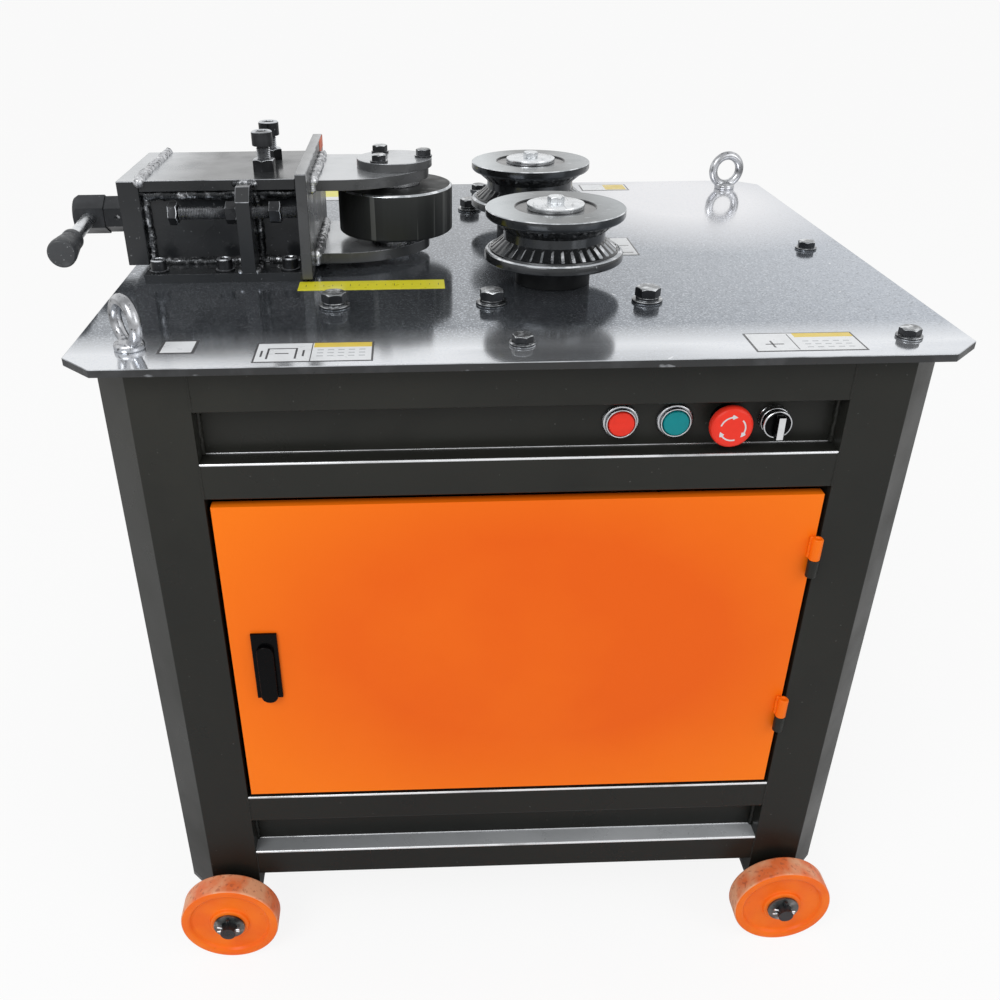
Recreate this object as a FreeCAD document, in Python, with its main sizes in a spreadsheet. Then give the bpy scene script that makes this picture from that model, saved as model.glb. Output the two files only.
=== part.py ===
import FreeCAD, Part
import Sketcher
import math
import os

# A rebar bending machine: a wheeled cabinet with a steel table, two driven rollers and a screw press.
# Each sub-part is drawn from the middle of the table's top face: x to the right, y to the back, z up.

document = FreeCAD.newDocument("rebar_bending_machine")
sheet = document.addObject("Spreadsheet::Sheet", "Dims")
vector = FreeCAD.Vector


# Sizes in millimetres and degrees

sizes = {
    # Table plate
    "table_width": 880.0,
    "table_depth": 770.0,
    "table_thickness": 8.0,
    "table_height": 820.0,
    "table_corner_cut": 33.0,
    "side_overhang": 22.0,
    "front_overhang": 21.0,
    # Cabinet frame
    "post_face": 95.6,
    "post_corner_cut": 36.0,
    "post_return": 40.0,
    "post_wall": 4.0,
    "rail_depth": 40.0,
    "rail_wall": 3.0,
    "top_rail_height": 47.0,
    "rail_height": 41.0,
    "second_rail_drop": 102.0,
    "third_rail_drop": 561.5,
    "bottom_rail_drop": 657.7,
    "panel_setback": 24.0,
    "sheet_thickness": 2.0,
    "pan_gap": 4.0,
    "gusset_thickness": 8.0,
    # Wheels
    "wheel_radius": 62.5,
    "wheel_width": 30.0,
    "wheel_inset": 57.0,
    "wheel_gap": 8.0,
    "wheel_hub_radius": 24.0,
    "wheel_rim_depth": 11.0,
    "wheel_dish": 5.0,
    "wheel_chamfer": 2.0,
    "axle_radius": 9.5,
    "axle_tail": 11.0,
    "axle_ear_spacing": 48.0,
    "ear_thickness": 12.0,
    "ear_half_width": 28.0,
    "ear_drop": 21.0,
    "foot_plate_thickness": 8.0,
    "foot_clearance": 3.5,
    "axle_washer_radius": 20.0,
    "axle_washer_thickness": 3.0,
    "axle_shoulder_radius": 16.0,
    "split_pin_radius": 2.0,
    "split_pin_length": 34.0,
    # Door
    "door_side_gap": 4.9,
    "door_top_gap": 8.5,
    "door_bottom_gap": 5.3,
    "door_fold": 13.0,
    "hinge_radius": 6.0,
    "hinge_pin_radius": 3.2,
    "hinge_length": 26.0,
    "hinge_foot_length": 22.0,
    "hinge_wing": 9.0,
    "hinge_wing_gap": 1.0,
    "hinge_wing_thickness": 3.5,
    "upper_hinge_below": 76.0,
    "lower_hinge_above": 109.4,
    "latch_plate_width": 29.0,
    "latch_plate_height": 90.0,
    "latch_plate_thickness": 3.0,
    "latch_inset": 38.5,
    "latch_below": 205.0,
    "latch_pivot_drop": 24.5,
    "latch_handle_width": 19.0,
    "latch_handle_length": 79.0,
    "latch_handle_thickness": 5.0,
    "latch_shaft_radius": 6.0,
    "latch_tongue_width": 16.0,
    "latch_tongue_thickness": 4.0,
    "latch_tongue_short": 1.5,
    # Controls
    "stop_button_x": 101.6,
    "start_button_x": 157.0,
    "emergency_button_x": 210.0,
    "selector_x": 257.5,
    "panel_hole_radius": 11.25,
    "barrel_radius": 11.0,
    "barrel_length": 14.0,
    "stem_radius": 8.0,
    "stem_spare": 1.0,
    "bezel_radius": 19.0,
    "bezel_height": 10.0,
    "bezel_recess": 7.0,
    "bezel_chamfer": 1.7,
    "cap_radius": 13.0,
    "cap_proud": 3.0,
    "cap_edge": 1.0,
    "button_travel": 4.0,
    "collar_radius": 17.0,
    "collar_height": 6.0,
    "mushroom_radius": 21.75,
    "mushroom_height": 13.0,
    "mushroom_edge": 4.0,
    "mushroom_back_radius": 18.7,
    "mushroom_shoulder_radius": 19.1,
    "mushroom_crown_radius": 13.0,
    "mushroom_travel": 5.0,
    "selector_bezel_radius": 15.25,
    "selector_bezel_height": 10.0,
    "selector_head_radius": 13.0,
    "selector_head_height": 8.0,
    "selector_lever_width": 8.0,
    "selector_lever_length": 24.0,
    "selector_lever_height": 10.0,
    "switch_block_width": 30.0,
    "switch_block_height": 36.0,
    "switch_block_depth": 34.0,
    # Press box
    "base_left": 411.5,
    "base_right": 232.0,
    "base_half_width": 120.0,
    "base_thickness": 10.0,
    "end_plate_thickness": 24.0,
    "end_plate_half_width": 87.0,
    "end_plate_lift": 12.0,
    "top_plate_half_width": 85.0,
    "top_plate_thickness": 12.0,
    "top_plate_short": 4.0,
    "box_height": 106.5,
    "side_plate_out": 72.0,
    "side_plate_thickness": 12.0,
    "lug_left": 300.0,
    "lug_thickness": 16.0,
    "lug_height": 103.0,
    "lug_chamfer": 14.0,
    "base_screw_first": 397.0,
    "base_screw_pitch": 75.5,
    "base_screw_y": 104.5,
    "base_screw_radius": 6.0,
    "base_screw_head_radius": 9.0,
    "base_screw_head_height": 12.0,
    "base_screw_socket": 10.0,
    "base_washer_radius": 11.0,
    "base_washer_thickness": 2.0,
    "set_screw_x": 275.0,
    "set_screw_y": 34.0,
    "set_screw_radius": 8.0,
    "set_screw_nut_flats": 24.0,
    "set_screw_nut_height": 13.0,
    "set_screw_rise": 27.5,
    "set_screw_head_radius": 12.0,
    "set_screw_head_height": 16.0,
    "set_screw_socket": 14.0,
    "stop_bolt_y": 102.0,
    "stop_bolt_z": 74.0,
    "stop_bolt_radius": 7.0,
    "stop_bolt_flats": 22.0,
    "stop_bolt_head_height": 10.0,
    "stop_bolt_head_left": 377.0,
    "stop_nut_height": 13.0,
    "stop_nut_right": 251.3,
    # Press screw and crank
    "screw_z": 51.0,
    "screw_radius": 14.0,
    "screw_tip": 280.0,
    "screw_chamfer": 2.0,
    "screw_end_room": 5.0,
    "screw_collar_radius": 21.0,
    "screw_collar_thickness": 5.0,
    "nut_radius": 26.0,
    "nut_length": 40.0,
    "nut_seat_depth": 30.0,
    "hub_collar_length": 39.0,
    "hub_collar_flats": 37.0,
    "hub_sleeve_length": 37.0,
    "hub_sleeve_flats": 40.0,
    "hub_grip_on_screw": 9.0,
    "hub_chamfer": 5.0,
    "hub_pin_hole_radius": 3.0,
    "hub_pin_hole_from_sleeve": 15.6,
    "crank_tilt": 4.5,
    "crank_rod_radius": 8.0,
    "crank_rod_from_collar": 19.0,
    "crank_rod_tail": 12.0,
    "crank_grip_start": 88.0,
    "crank_grip_length": 51.0,
    "crank_grip_small_radius": 12.0,
    "crank_grip_big_radius": 16.0,
    "crank_grip_end_wall": 7.0,
    "crank_grip_taper": 41.0,
    "crank_grip_edge": 2.0,
    # Ram and fork
    "ram_left": 395.0,
    "ram_clearance": 0.5,
    "flange_thickness": 12.0,
    "flange_overlap": 1.0,
    "flange_half_width": 128.0,
    "flange_lift": 4.0,
    "flange_top": 119.5,
    "fork_half_width": 78.0,
    "fork_straight": 31.6,
    "fork_side_radius": 115.0,
    "fork_nose_radius": 45.0,
    "fork_thickness": 12.0,
    "fork_lower_z": 8.0,
    "fork_upper_z": 91.0,
    # Press roller
    "press_roller_x": 124.0,
    "press_roller_radius": 69.25,
    "press_roller_height": 53.9,
    "press_roller_chamfer": 2.0,
    "press_bush_radius": 22.0,
    "roller_pin_radius": 15.0,
    "thrust_washer_radius": 30.0,
    "keeper_radius": 45.0,
    "keeper_thickness": 10.0,
    "keeper_bolt_circle": 35.0,
    "keeper_bolt_radius": 5.0,
    "keeper_bolt_flats": 16.0,
    "keeper_bolt_head": 7.0,
    "keeper_washer_radius": 10.5,
    "keeper_washer_thickness": 2.0,
    # Driven rollers
    "roller_x": 55.0,
    "roller_y": 130.0,
    "foot_collar_radius": 42.5,
    "foot_collar_height": 25.7,
    "roller_radius": 78.0,
    "roller_neck_radius": 57.0,
    "roller_band": 11.0,
    "roller_rim_chamfer": 2.5,
    "roller_cone_height": 12.6,
    "neck_height": 9.1,
    "roller_recess_radius": 45.0,
    "roller_recess_depth": 1.7,
    "serration_count": 36.0,
    "serration_half_width": 3.0,
    "serration_depth": 2.4,
    "shaft_radius": 25.0,
    "top_washer_radius": 32.0,
    "top_washer_thickness": 5.7,
    "top_bolt_flats": 17.0,
    "top_bolt_head": 8.0,
    # Table fasteners
    "large_bolt_middle_x": -21.0,
    "large_bolt_pitch": 168.5,
    "large_bolt_y": 213.0,
    "large_bolt_radius": 8.0,
    "large_bolt_flats": 24.0,
    "large_bolt_head": 10.0,
    "large_nut_height": 13.0,
    "large_washer_radius": 16.5,
    "large_washer_thickness": 3.0,
    "spring_washer_radius": 12.5,
    "spring_washer_thickness": 3.0,
    "small_bolt_radius": 6.0,
    "small_bolt_flats": 19.0,
    "small_bolt_head": 7.5,
    "small_bolt_length": 30.0,
    "small_washer_radius": 13.0,
    "small_washer_thickness": 2.5,
    "edge_bolt_inset": 48.0,
    "right_bolt_inset": 52.0,
    "right_bolt_y": -18.0,
    "corner_bolt_inset": 60.0,
    "eye_inset_x": 59.5,
    "eye_inset_y": 55.0,
    "eye_ring_radius": 21.0,
    "eye_wire_radius": 6.0,
    "eye_collar_radius": 15.0,
    "eye_collar_height": 7.0,
    "eye_collar_step": 2.0,
    "eye_ring_sink": 1.0,
    "eye_shank_proud": 6.0,
    "eye_neck_radius": 8.0,
    "front_eye_turn": 130.0,
    "rear_eye_turn": 8.0,
    # Drive under the table
    "bearing_plate_half_width": 200.0,
    "bearing_plate_half_depth": 240.0,
    "bearing_plate_thickness": 20.0,
    "shaft_hole_radius": 31.0,
    "housing_radius": 50.0,
    "housing_length": 90.0,
    "housing_flange_radius": 68.0,
    "housing_flange_thickness": 14.0,
    "gear_module": 4.0,
    "driven_teeth": 40.0,
    "pinion_teeth": 25.0,
    "gear_face": 30.0,
    "gear_gap": 4.0,
    "gear_addendum": 3.4,
    "gear_dedendum": 4.6,
    "gear_backlash": 0.9,
    "gear_flank_slope": 0.42,
    "pinion_shaft_radius": 20.0,
    "pinion_shaft_depth": 35.0,
    "gearbox_drop": 23.0,
    "gearbox_plate_half_width": 130.0,
    "gearbox_plate_half_depth": 50.0,
    "gearbox_plate_thickness": 15.0,
    "gearbox_radius": 85.0,
    "gearbox_height": 120.0,
    "pillar_radius": 12.0,
    "pillar_inset": 18.0,
    "worm_offset": 80.0,
    "worm_radius": 45.0,
    "worm_half_length": 100.0,
    "worm_drop": 75.0,
    "motor_flange_radius": 68.0,
    "motor_flange_thickness": 12.0,
    "motor_radius": 62.0,
    "motor_length": 220.0,
    "motor_cover_radius": 65.0,
    "motor_cover_length": 50.0,
    "control_box_left": 120.0,
    "control_box_width": 180.0,
    "control_box_height": 250.0,
    "control_box_depth": 120.0,
    "control_box_below": 250.0,
    "gland_x": 210.0,
    "gland_above_rail": 60.0,
    "gland_bore_radius": 5.5,
    "gland_thread_radius": 9.0,
    "gland_flats": 24.0,
    "gland_body_length": 9.0,
    "gland_cap_length": 16.0,
    "gland_cap_radius": 11.0,
    "gland_inner_length": 10.0,
    # Clearances
    "running_clearance": 0.05,
    "sliding_gap": 0.3,
    "bolt_clearance": 0.5,
}


class Size:
    """A length in millimetres together with the formula that ties it to the sheet."""

    def __init__(self, value, formula):
        self.value = float(value)
        self.formula = formula

    def __add__(self, other):
        return Size(self.value + number(other), f"({self.formula} + {formula(other)})")

    def __radd__(self, other):
        return Size(number(other) + self.value, f"({formula(other)} + {self.formula})")

    def __sub__(self, other):
        return Size(self.value - number(other), f"({self.formula} - {formula(other)})")

    def __rsub__(self, other):
        return Size(number(other) - self.value, f"({formula(other)} - {self.formula})")

    def __mul__(self, other):
        return Size(self.value * number(other), f"({self.formula} * {formula(other)})")

    def __rmul__(self, other):
        return Size(number(other) * self.value, f"({formula(other)} * {self.formula})")

    def __truediv__(self, other):
        return Size(self.value / number(other), f"({self.formula} / {formula(other)})")

    def __neg__(self):
        return Size(-self.value, f"(-1 * {self.formula})")


def number(size):
    """The plain value of a size."""
    return size.value if isinstance(size, Size) else float(size)


def formula(size):
    """The formula of a size, as the document reads it."""
    return size.formula if isinstance(size, Size) else f"({float(size):.6f})"


def root(size):
    """The square root of a size."""
    return Size(number(size) ** 0.5, f"sqrt({formula(size)})")


class Dimensions:
    """The sheet's sizes by name."""

    def __init__(self, values):
        for row, (alias, value) in enumerate(values.items(), start=1):
            sheet.set(f"A{row}", alias)
            sheet.set(f"B{row}", str(value))
            sheet.setAlias(f"B{row}", alias)
            setattr(self, alias, Size(value, f"Dims.{alias}"))


d = Dimensions(sizes)
zero = Size(0, "0")
document.recompute()


# Places that several sub-parts share

# The tangent of 22.5 degrees: how far a corner of 45 degrees draws in for each millimetre of wall
corner_share = 2**0.5 - 1

cabinet_x = d.table_width / 2 - d.side_overhang
cabinet_y = d.table_depth / 2 - d.front_overhang
post_edge_x = cabinet_x - d.post_face
post_edge_y = cabinet_y - d.post_face
under_table = -d.table_thickness
top_rail_bottom = under_table - d.top_rail_height
second_rail_top = under_table - d.second_rail_drop
second_rail_bottom = second_rail_top - d.rail_height
third_rail_top = under_table - d.third_rail_drop
third_rail_bottom = third_rail_top - d.rail_height
bottom_rail_top = under_table - d.bottom_rail_drop
bottom_rail_bottom = bottom_rail_top - d.rail_height
panel_face_y = cabinet_y - d.panel_setback
panel_back_y = panel_face_y - d.sheet_thickness
control_z = (top_rail_bottom + second_rail_top) / 2

wheel_x = cabinet_x - d.wheel_inset
axle_z = d.wheel_radius - d.table_height
foot_plate_bottom = axle_z + d.axle_radius + d.foot_clearance
post_bottom = foot_plate_bottom + d.foot_plate_thickness
wheel_near_y = cabinet_y + d.wheel_gap
wheel_far_y = wheel_near_y + d.wheel_width
axle_washer_y = wheel_far_y + d.sliding_gap
split_pin_y = axle_washer_y + d.axle_washer_thickness + d.split_pin_radius + d.sliding_gap
axle_end_y = axle_washer_y + d.axle_washer_thickness + d.axle_tail

door_edge_x = post_edge_x - d.door_side_gap
door_top = second_rail_bottom - d.door_top_gap
door_bottom = third_rail_top + d.door_bottom_gap
hinge_axis_y = -cabinet_y - d.hinge_radius - d.sliding_gap
hinge_heights = (door_top - d.upper_hinge_below, door_bottom + d.lower_hinge_above)
latch_x = -post_edge_x + d.door_side_gap + d.latch_inset
latch_pivot_z = door_top - d.latch_below + d.latch_plate_height / 2 - d.latch_pivot_drop

end_plate_right = -(d.base_left + d.bolt_clearance)
end_plate_left = end_plate_right - d.end_plate_thickness
top_plate_bottom = d.box_height - d.top_plate_thickness
box_right = -(d.base_right + d.top_plate_short)
side_plate_in = d.side_plate_out - d.side_plate_thickness
hub_right = end_plate_left - d.sliding_gap
hub_joint = hub_right - d.hub_collar_length
hub_left = hub_joint - d.hub_sleeve_length
crank_rod_x = hub_joint - d.crank_rod_from_collar
screw_left = hub_joint - d.hub_grip_on_screw

flange_left = d.flange_overlap - d.base_right
flange_right = flange_left + d.flange_thickness
fork_bend_x = flange_right + d.fork_straight
fork_arc_y = d.fork_half_width - d.fork_side_radius
fork_reach = d.fork_side_radius - d.fork_nose_radius
fork_nose_x = fork_bend_x + root(fork_reach * fork_reach - fork_arc_y * fork_arc_y)
fork_tangent_x = fork_nose_x + d.fork_nose_radius * (fork_nose_x - fork_bend_x) / fork_reach
fork_lower_top = d.fork_lower_z + d.fork_thickness
fork_upper_top = d.fork_upper_z + d.fork_thickness
press_roller_bottom = (fork_lower_top + d.fork_upper_z - d.press_roller_height) / 2
press_roller_top = press_roller_bottom + d.press_roller_height
keeper_top = fork_upper_top + d.keeper_thickness

roller_bottom = d.foot_collar_height + d.sliding_gap
lower_cone_bottom = roller_bottom + d.roller_band
neck_bottom = lower_cone_bottom + d.roller_cone_height
neck_top = neck_bottom + d.neck_height
roller_top = neck_top + d.roller_cone_height + d.roller_band
roller_recess_floor = roller_top - d.roller_recess_depth
cone_radius = d.roller_radius - d.roller_rim_chamfer
bearing_plate_bottom = under_table - d.bearing_plate_thickness
housing_bottom = bearing_plate_bottom - d.housing_length
gear_top = housing_bottom - d.gear_gap
gear_bottom = gear_top - d.gear_face
gearbox_top = gear_bottom - d.gearbox_drop
worm_z = gearbox_top - d.gearbox_plate_thickness - d.worm_drop
gland_z = bottom_rail_top + d.gland_above_rail

# The part's own origin is on the floor, in the middle of its greatest width
table_x = (-hub_left - d.table_width / 2) / 2

control_places = [d.stop_button_x, d.start_button_x, d.emergency_button_x, d.selector_x]
roller_places = [(d.roller_x, -d.roller_y), (d.roller_x, d.roller_y)]
base_screw_places = [
    (-(d.base_screw_first - d.base_screw_pitch * step), side * d.base_screw_y)
    for step in range(3)
    for side in (-1, 1)
]
large_bolt_places = [
    (d.large_bolt_middle_x + d.large_bolt_pitch * step, side * d.large_bolt_y)
    for step in (-1, 0, 1)
    for side in (-1, 1)
]
middle_bolt_y = d.table_depth / 2 - d.edge_bolt_inset
corner_bolt_x = d.table_width / 2 - d.corner_bolt_inset
right_bolt_place = (d.table_width / 2 - d.right_bolt_inset, d.right_bolt_y)
small_bolt_places = [
    (zero, -middle_bolt_y),
    (zero, middle_bolt_y),
    right_bolt_place,
    (corner_bolt_x, -middle_bolt_y),
    (-corner_bolt_x, middle_bolt_y),
]
eye_x = d.table_width / 2 - d.eye_inset_x
eye_y = d.table_depth / 2 - d.eye_inset_y
eye_places = [(-eye_x, -eye_y), (eye_x, eye_y)]


# Drawing helpers

turns = {
    "X": FreeCAD.Rotation(vector(0, 1, 0), 90),
    "-X": FreeCAD.Rotation(vector(0, 1, 0), -90),
    "Y": FreeCAD.Rotation(vector(1, 0, 0), -90),
    "-Y": FreeCAD.Rotation(vector(1, 0, 0), 90),
    "Z": FreeCAD.Rotation(),
}


def stood(piece, at, turn=None):
    """Put a piece at a place from the sheet, turned first."""
    if turn is not None:
        piece.Placement = FreeCAD.Placement(vector(), turn)
    for letter, size in zip("xyz", at):
        piece.setExpression(f"Placement.Base.{letter}", formula(size))
    return piece


def box(name, low, high):
    """A block between two opposite corners."""
    block = document.addObject("Part::Box", name)
    for side, near, far in zip(("Length", "Width", "Height"), low, high):
        block.setExpression(side, formula(far - near))
    return stood(block, low)


def rod(name, radius, length, at, axis="Z"):
    """A round bar that starts at a place and runs along an axis."""
    bar = document.addObject("Part::Cylinder", name)
    bar.setExpression("Radius", formula(radius))
    bar.setExpression("Height", formula(length))
    return stood(bar, at, turns[axis])


def hexagon(name, flats, length, at, axis="Z"):
    """A six-sided bar, measured across its flats."""
    bar = document.addObject("Part::Prism", name)
    bar.Polygon = 6
    bar.setExpression("Circumradius", formula(flats / 3**0.5))
    bar.setExpression("Height", formula(length))
    return stood(bar, at, turns[axis])


def cut(name, base, *tools):
    """A piece less one or more others."""
    result = document.addObject("Part::Cut", name)
    result.Base = base
    result.Tool = tools[0] if len(tools) == 1 else fused(f"{name}_tools", *tools)
    return result


def fused(name, *pieces):
    """Several pieces made one."""
    result = document.addObject("Part::MultiFuse", name)
    result.Shapes = list(pieces)
    result.Refine = True
    return result


def shared(name, *pieces):
    """What several pieces have in common."""
    result = document.addObject("Part::MultiCommon", name)
    result.Shapes = list(pieces)
    return result


def ring(name, outer, inner, length, at, axis="Z"):
    """A round bar with a bore."""
    return cut(
        name,
        rod(f"{name}_outside", outer, length, at, axis),
        rod(f"{name}_bore", inner, length, at, axis),
    )


def origin_feature(body, role):
    """One of a body's own planes or axes."""
    return next(feature for feature in body.Origin.OriginFeatures if feature.Role == role)


def sketch_on(body, name, plane):
    """An empty sketch on one of the body's own planes."""
    sketch = body.newObject("Sketcher::SketchObject", name)
    sketch.AttachmentSupport = (origin_feature(body, plane), [""])
    sketch.MapMode = "FlatFace"
    return sketch


def pin_point(sketch, geometry, end, point):
    """Hold one point of a sketch at a place from the sheet."""
    for kind, size in zip(("DistanceX", "DistanceY"), point):
        index = sketch.addConstraint(Sketcher.Constraint(kind, -1, 1, geometry, end, number(size)))
        sketch.setExpression(f"Constraints[{index}]", formula(size))


def draw_outline(sketch, points):
    """Draw a closed outline through points given by the sheet."""
    corners = [vector(number(across), number(along), 0) for across, along in points]
    for start, end in zip(corners, corners[1:] + corners[:1]):
        sketch.addGeometry(Part.LineSegment(start, end), False)
    for index in range(len(points)):
        following = (index + 1) % len(points)
        sketch.addConstraint(Sketcher.Constraint("Coincident", index, 2, following, 1))
    for index, point in enumerate(points):
        pin_point(sketch, index, 1, point)


def draw_circles(sketch, circles):
    """Draw circles given as (across, along, radius)."""
    for across, along, radius in circles:
        centre = vector(number(across), number(along), 0)
        index = sketch.addGeometry(Part.Circle(centre, vector(0, 0, 1), number(radius)), False)
        pin_point(sketch, index, 3, (across, along))
        index = sketch.addConstraint(Sketcher.Constraint("Radius", index, number(radius)))
        sketch.setExpression(f"Constraints[{index}]", formula(radius))


def plate(name, plane, points, thickness, at, holes=()):
    """A flat plate with round holes: XY rises, XZ comes forward and YZ goes to the right."""
    body = document.addObject("PartDesign::Body", name)
    outline = sketch_on(body, f"{name}_outline", plane)
    draw_outline(outline, points)
    pad = body.newObject("PartDesign::Pad", f"{name}_pad")
    pad.Profile = outline
    pad.setExpression("Length", formula(thickness))
    if holes:
        circles = sketch_on(body, f"{name}_circles", plane)
        draw_circles(circles, holes)
        pocket = body.newObject("PartDesign::Pocket", f"{name}_holes")
        pocket.Profile = circles
        pocket.Type = "ThroughAll"
        pocket.Midplane = True
    return stood(body, at)


def turned(name, profile, at, axis="Z"):
    """A body turned from a profile of (radius, height) points about an axis."""
    body = document.addObject("PartDesign::Body", name)
    sketch = sketch_on(body, f"{name}_profile", "XZ_Plane")
    draw_outline(sketch, profile)
    revolution = body.newObject("PartDesign::Revolution", f"{name}_turn")
    revolution.Profile = sketch
    revolution.ReferenceAxis = (sketch, ["V_Axis"])
    revolution.Angle = 360
    return stood(body, at, turns[axis])


def hexagon_bolt(name, flats, head, radius, length, at, washers=()):
    """An upright bolt with its washers clamped below the head: the lowest washer stands at the place."""
    x, y, z = at
    pieces = [rod(f"{name}_shank", radius, length, (x, y, z - length))]
    for index, (washer_radius, thickness) in enumerate(washers):
        pieces.append(rod(f"{name}_washer_{index}", washer_radius, thickness, (x, y, z)))
        z = z + thickness
    pieces.append(hexagon(f"{name}_head", flats, head, (x, y, z)))
    return fused(name, *pieces)


def socket_screw(name, head_radius, head_height, socket, radius, length, at, *collars):
    """An upright screw with a six-sided socket in its round head, and whatever is clamped below the head."""
    x, y, z = at
    solid = fused(
        f"{name}_solid",
        rod(f"{name}_head", head_radius, head_height, at),
        rod(f"{name}_shank", radius, length, (x, y, z - length)),
        *collars,
    )
    depth = head_height / 2
    return cut(name, solid, hexagon(f"{name}_socket", socket, depth, (x, y, z + head_height - depth)))


nodes = []


def node(name, *pieces):
    """Gather the pieces of one sub-part and stand it in the machine's own frame."""
    group = document.addObject("Part::Compound", name)
    group.Links = list(pieces)
    group.Label = name
    nodes.append(stood(group, (table_x, zero, d.table_height)))


# Table and cabinet

def table_top():
    """The table plate with its cut corners and the holes for whatever goes through it."""
    half_x = d.table_width / 2
    half_y = d.table_depth / 2
    corner = d.table_corner_cut
    outline = [
        (-half_x + corner, -half_y),
        (half_x - corner, -half_y),
        (half_x, -half_y + corner),
        (half_x, half_y - corner),
        (half_x - corner, half_y),
        (-half_x + corner, half_y),
        (-half_x, half_y - corner),
        (-half_x, -half_y + corner),
    ]
    holes = [(x, y, d.shaft_hole_radius) for x, y in roller_places]
    holes += [(x, y, d.large_bolt_radius + d.bolt_clearance) for x, y in large_bolt_places]
    holes += [(x, y, d.small_bolt_radius + d.bolt_clearance) for x, y in small_bolt_places + eye_places]
    holes += [(x, y, d.base_screw_radius + d.bolt_clearance) for x, y in base_screw_places]
    at = (zero, zero, under_table)
    node("table_top", plate("table_plate", "XY_Plane", outline, d.table_thickness, at, holes))


def corner_posts():
    """Folded posts, open towards the inside, each with a gusset that takes the corner bolt or eye."""
    wall = d.post_wall
    miter = wall * corner_share
    corner = d.post_corner_cut
    section = [
        (post_edge_x, cabinet_y - d.post_return),
        (post_edge_x, cabinet_y),
        (cabinet_x - corner, cabinet_y),
        (cabinet_x, cabinet_y - corner),
        (cabinet_x, post_edge_y),
        (cabinet_x - d.post_return, post_edge_y),
        (cabinet_x - d.post_return, post_edge_y + wall),
        (cabinet_x - wall, post_edge_y + wall),
        (cabinet_x - wall, cabinet_y - corner - miter),
        (cabinet_x - corner - miter, cabinet_y - wall),
        (post_edge_x + wall, cabinet_y - wall),
        (post_edge_x + wall, cabinet_y - d.post_return),
    ]
    gusset = [
        (post_edge_x + wall, post_edge_y + wall),
        (cabinet_x - wall, post_edge_y + wall),
        (cabinet_x - wall, cabinet_y - corner - miter),
        (cabinet_x - corner - miter, cabinet_y - wall),
        (post_edge_x + wall, cabinet_y - wall),
    ]
    pieces = []
    for side, end in ((-1, -1), (1, -1), (1, 1), (-1, 1)):
        hole = next(
            (x, y, d.small_bolt_radius + d.bolt_clearance)
            for x, y in eye_places + small_bolt_places[3:]
            if number(x) * side > 0 and number(y) * end > 0
        )
        tag = f"{'left' if side < 0 else 'right'}_{'front' if end < 0 else 'rear'}"
        points = [(side * x, end * y) for x, y in section]
        at = (zero, zero, post_bottom)
        pieces.append(plate(f"post_{tag}", "XY_Plane", points, under_table - post_bottom, at))
        points = [(side * x, end * y) for x, y in gusset]
        at = (zero, zero, under_table - d.gusset_thickness)
        pieces.append(plate(f"gusset_{tag}", "XY_Plane", points, d.gusset_thickness, at, [hole]))
    node("corner_posts", *pieces)


def hollow_bar(name, low, high, along):
    """A square tube between two corners, open at both ends."""
    wall = d.rail_wall
    inner_low = [near if index == along else near + wall for index, near in enumerate(low)]
    inner_high = [far if index == along else far - wall for index, far in enumerate(high)]
    return cut(name, box(f"{name}_outside", low, high), box(f"{name}_inside", inner_low, inner_high))


def frame_rails():
    """The tubes between the posts, drilled where a table bolt ends in one."""
    levels = {
        "top": (top_rail_bottom, under_table),
        "second": (second_rail_bottom, second_rail_top),
        "third": (third_rail_bottom, third_rail_top),
        "bottom": (bottom_rail_bottom, bottom_rail_top),
    }
    inner_y = cabinet_y - d.rail_depth
    inner_x = cabinet_x - d.rail_depth
    hole_radius = d.small_bolt_radius + d.bolt_clearance
    pieces = []
    for level, (low, high) in levels.items():
        rail = hollow_bar(
            f"front_rail_{level}", (-post_edge_x, -cabinet_y, low), (post_edge_x, -inner_y, high), 0
        )
        if level == "top":
            at = (zero, -middle_bolt_y, under_table - d.rail_wall)
            rail = cut("front_rail_drilled", rail, rod("front_rail_hole", hole_radius, d.rail_wall, at))
        pieces.append(rail)
    for level in ("top", "bottom"):
        low, high = levels[level]
        rail = hollow_bar(
            f"rear_rail_{level}", (-post_edge_x, inner_y, low), (post_edge_x, cabinet_y, high), 0
        )
        if level == "top":
            at = (zero, middle_bolt_y, under_table - d.rail_wall)
            rail = cut("rear_rail_drilled", rail, rod("rear_rail_hole", hole_radius, d.rail_wall, at))
        pieces.append(rail)
        rail = hollow_bar(
            f"left_rail_{level}", (-cabinet_x, -post_edge_y, low), (-inner_x, post_edge_y, high), 1
        )
        if level == "top":
            screw_hole = d.base_screw_radius + d.bolt_clearance
            holes = [
                rod(f"left_rail_hole_{index}", screw_hole, d.rail_wall, (x, y, under_table - d.rail_wall))
                for index, (x, y) in enumerate(base_screw_places[:2])
            ]
            rail = cut("left_rail_drilled", rail, *holes)
        pieces.append(rail)
        rail = hollow_bar(
            f"right_rail_{level}", (inner_x, -post_edge_y, low), (cabinet_x, post_edge_y, high), 1
        )
        if level == "top":
            at = (*right_bolt_place, under_table - d.rail_wall)
            rail = cut("right_rail_drilled", rail, rod("right_rail_hole", hole_radius, d.rail_wall, at))
        pieces.append(rail)
    node("frame_rails", *pieces)


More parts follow.
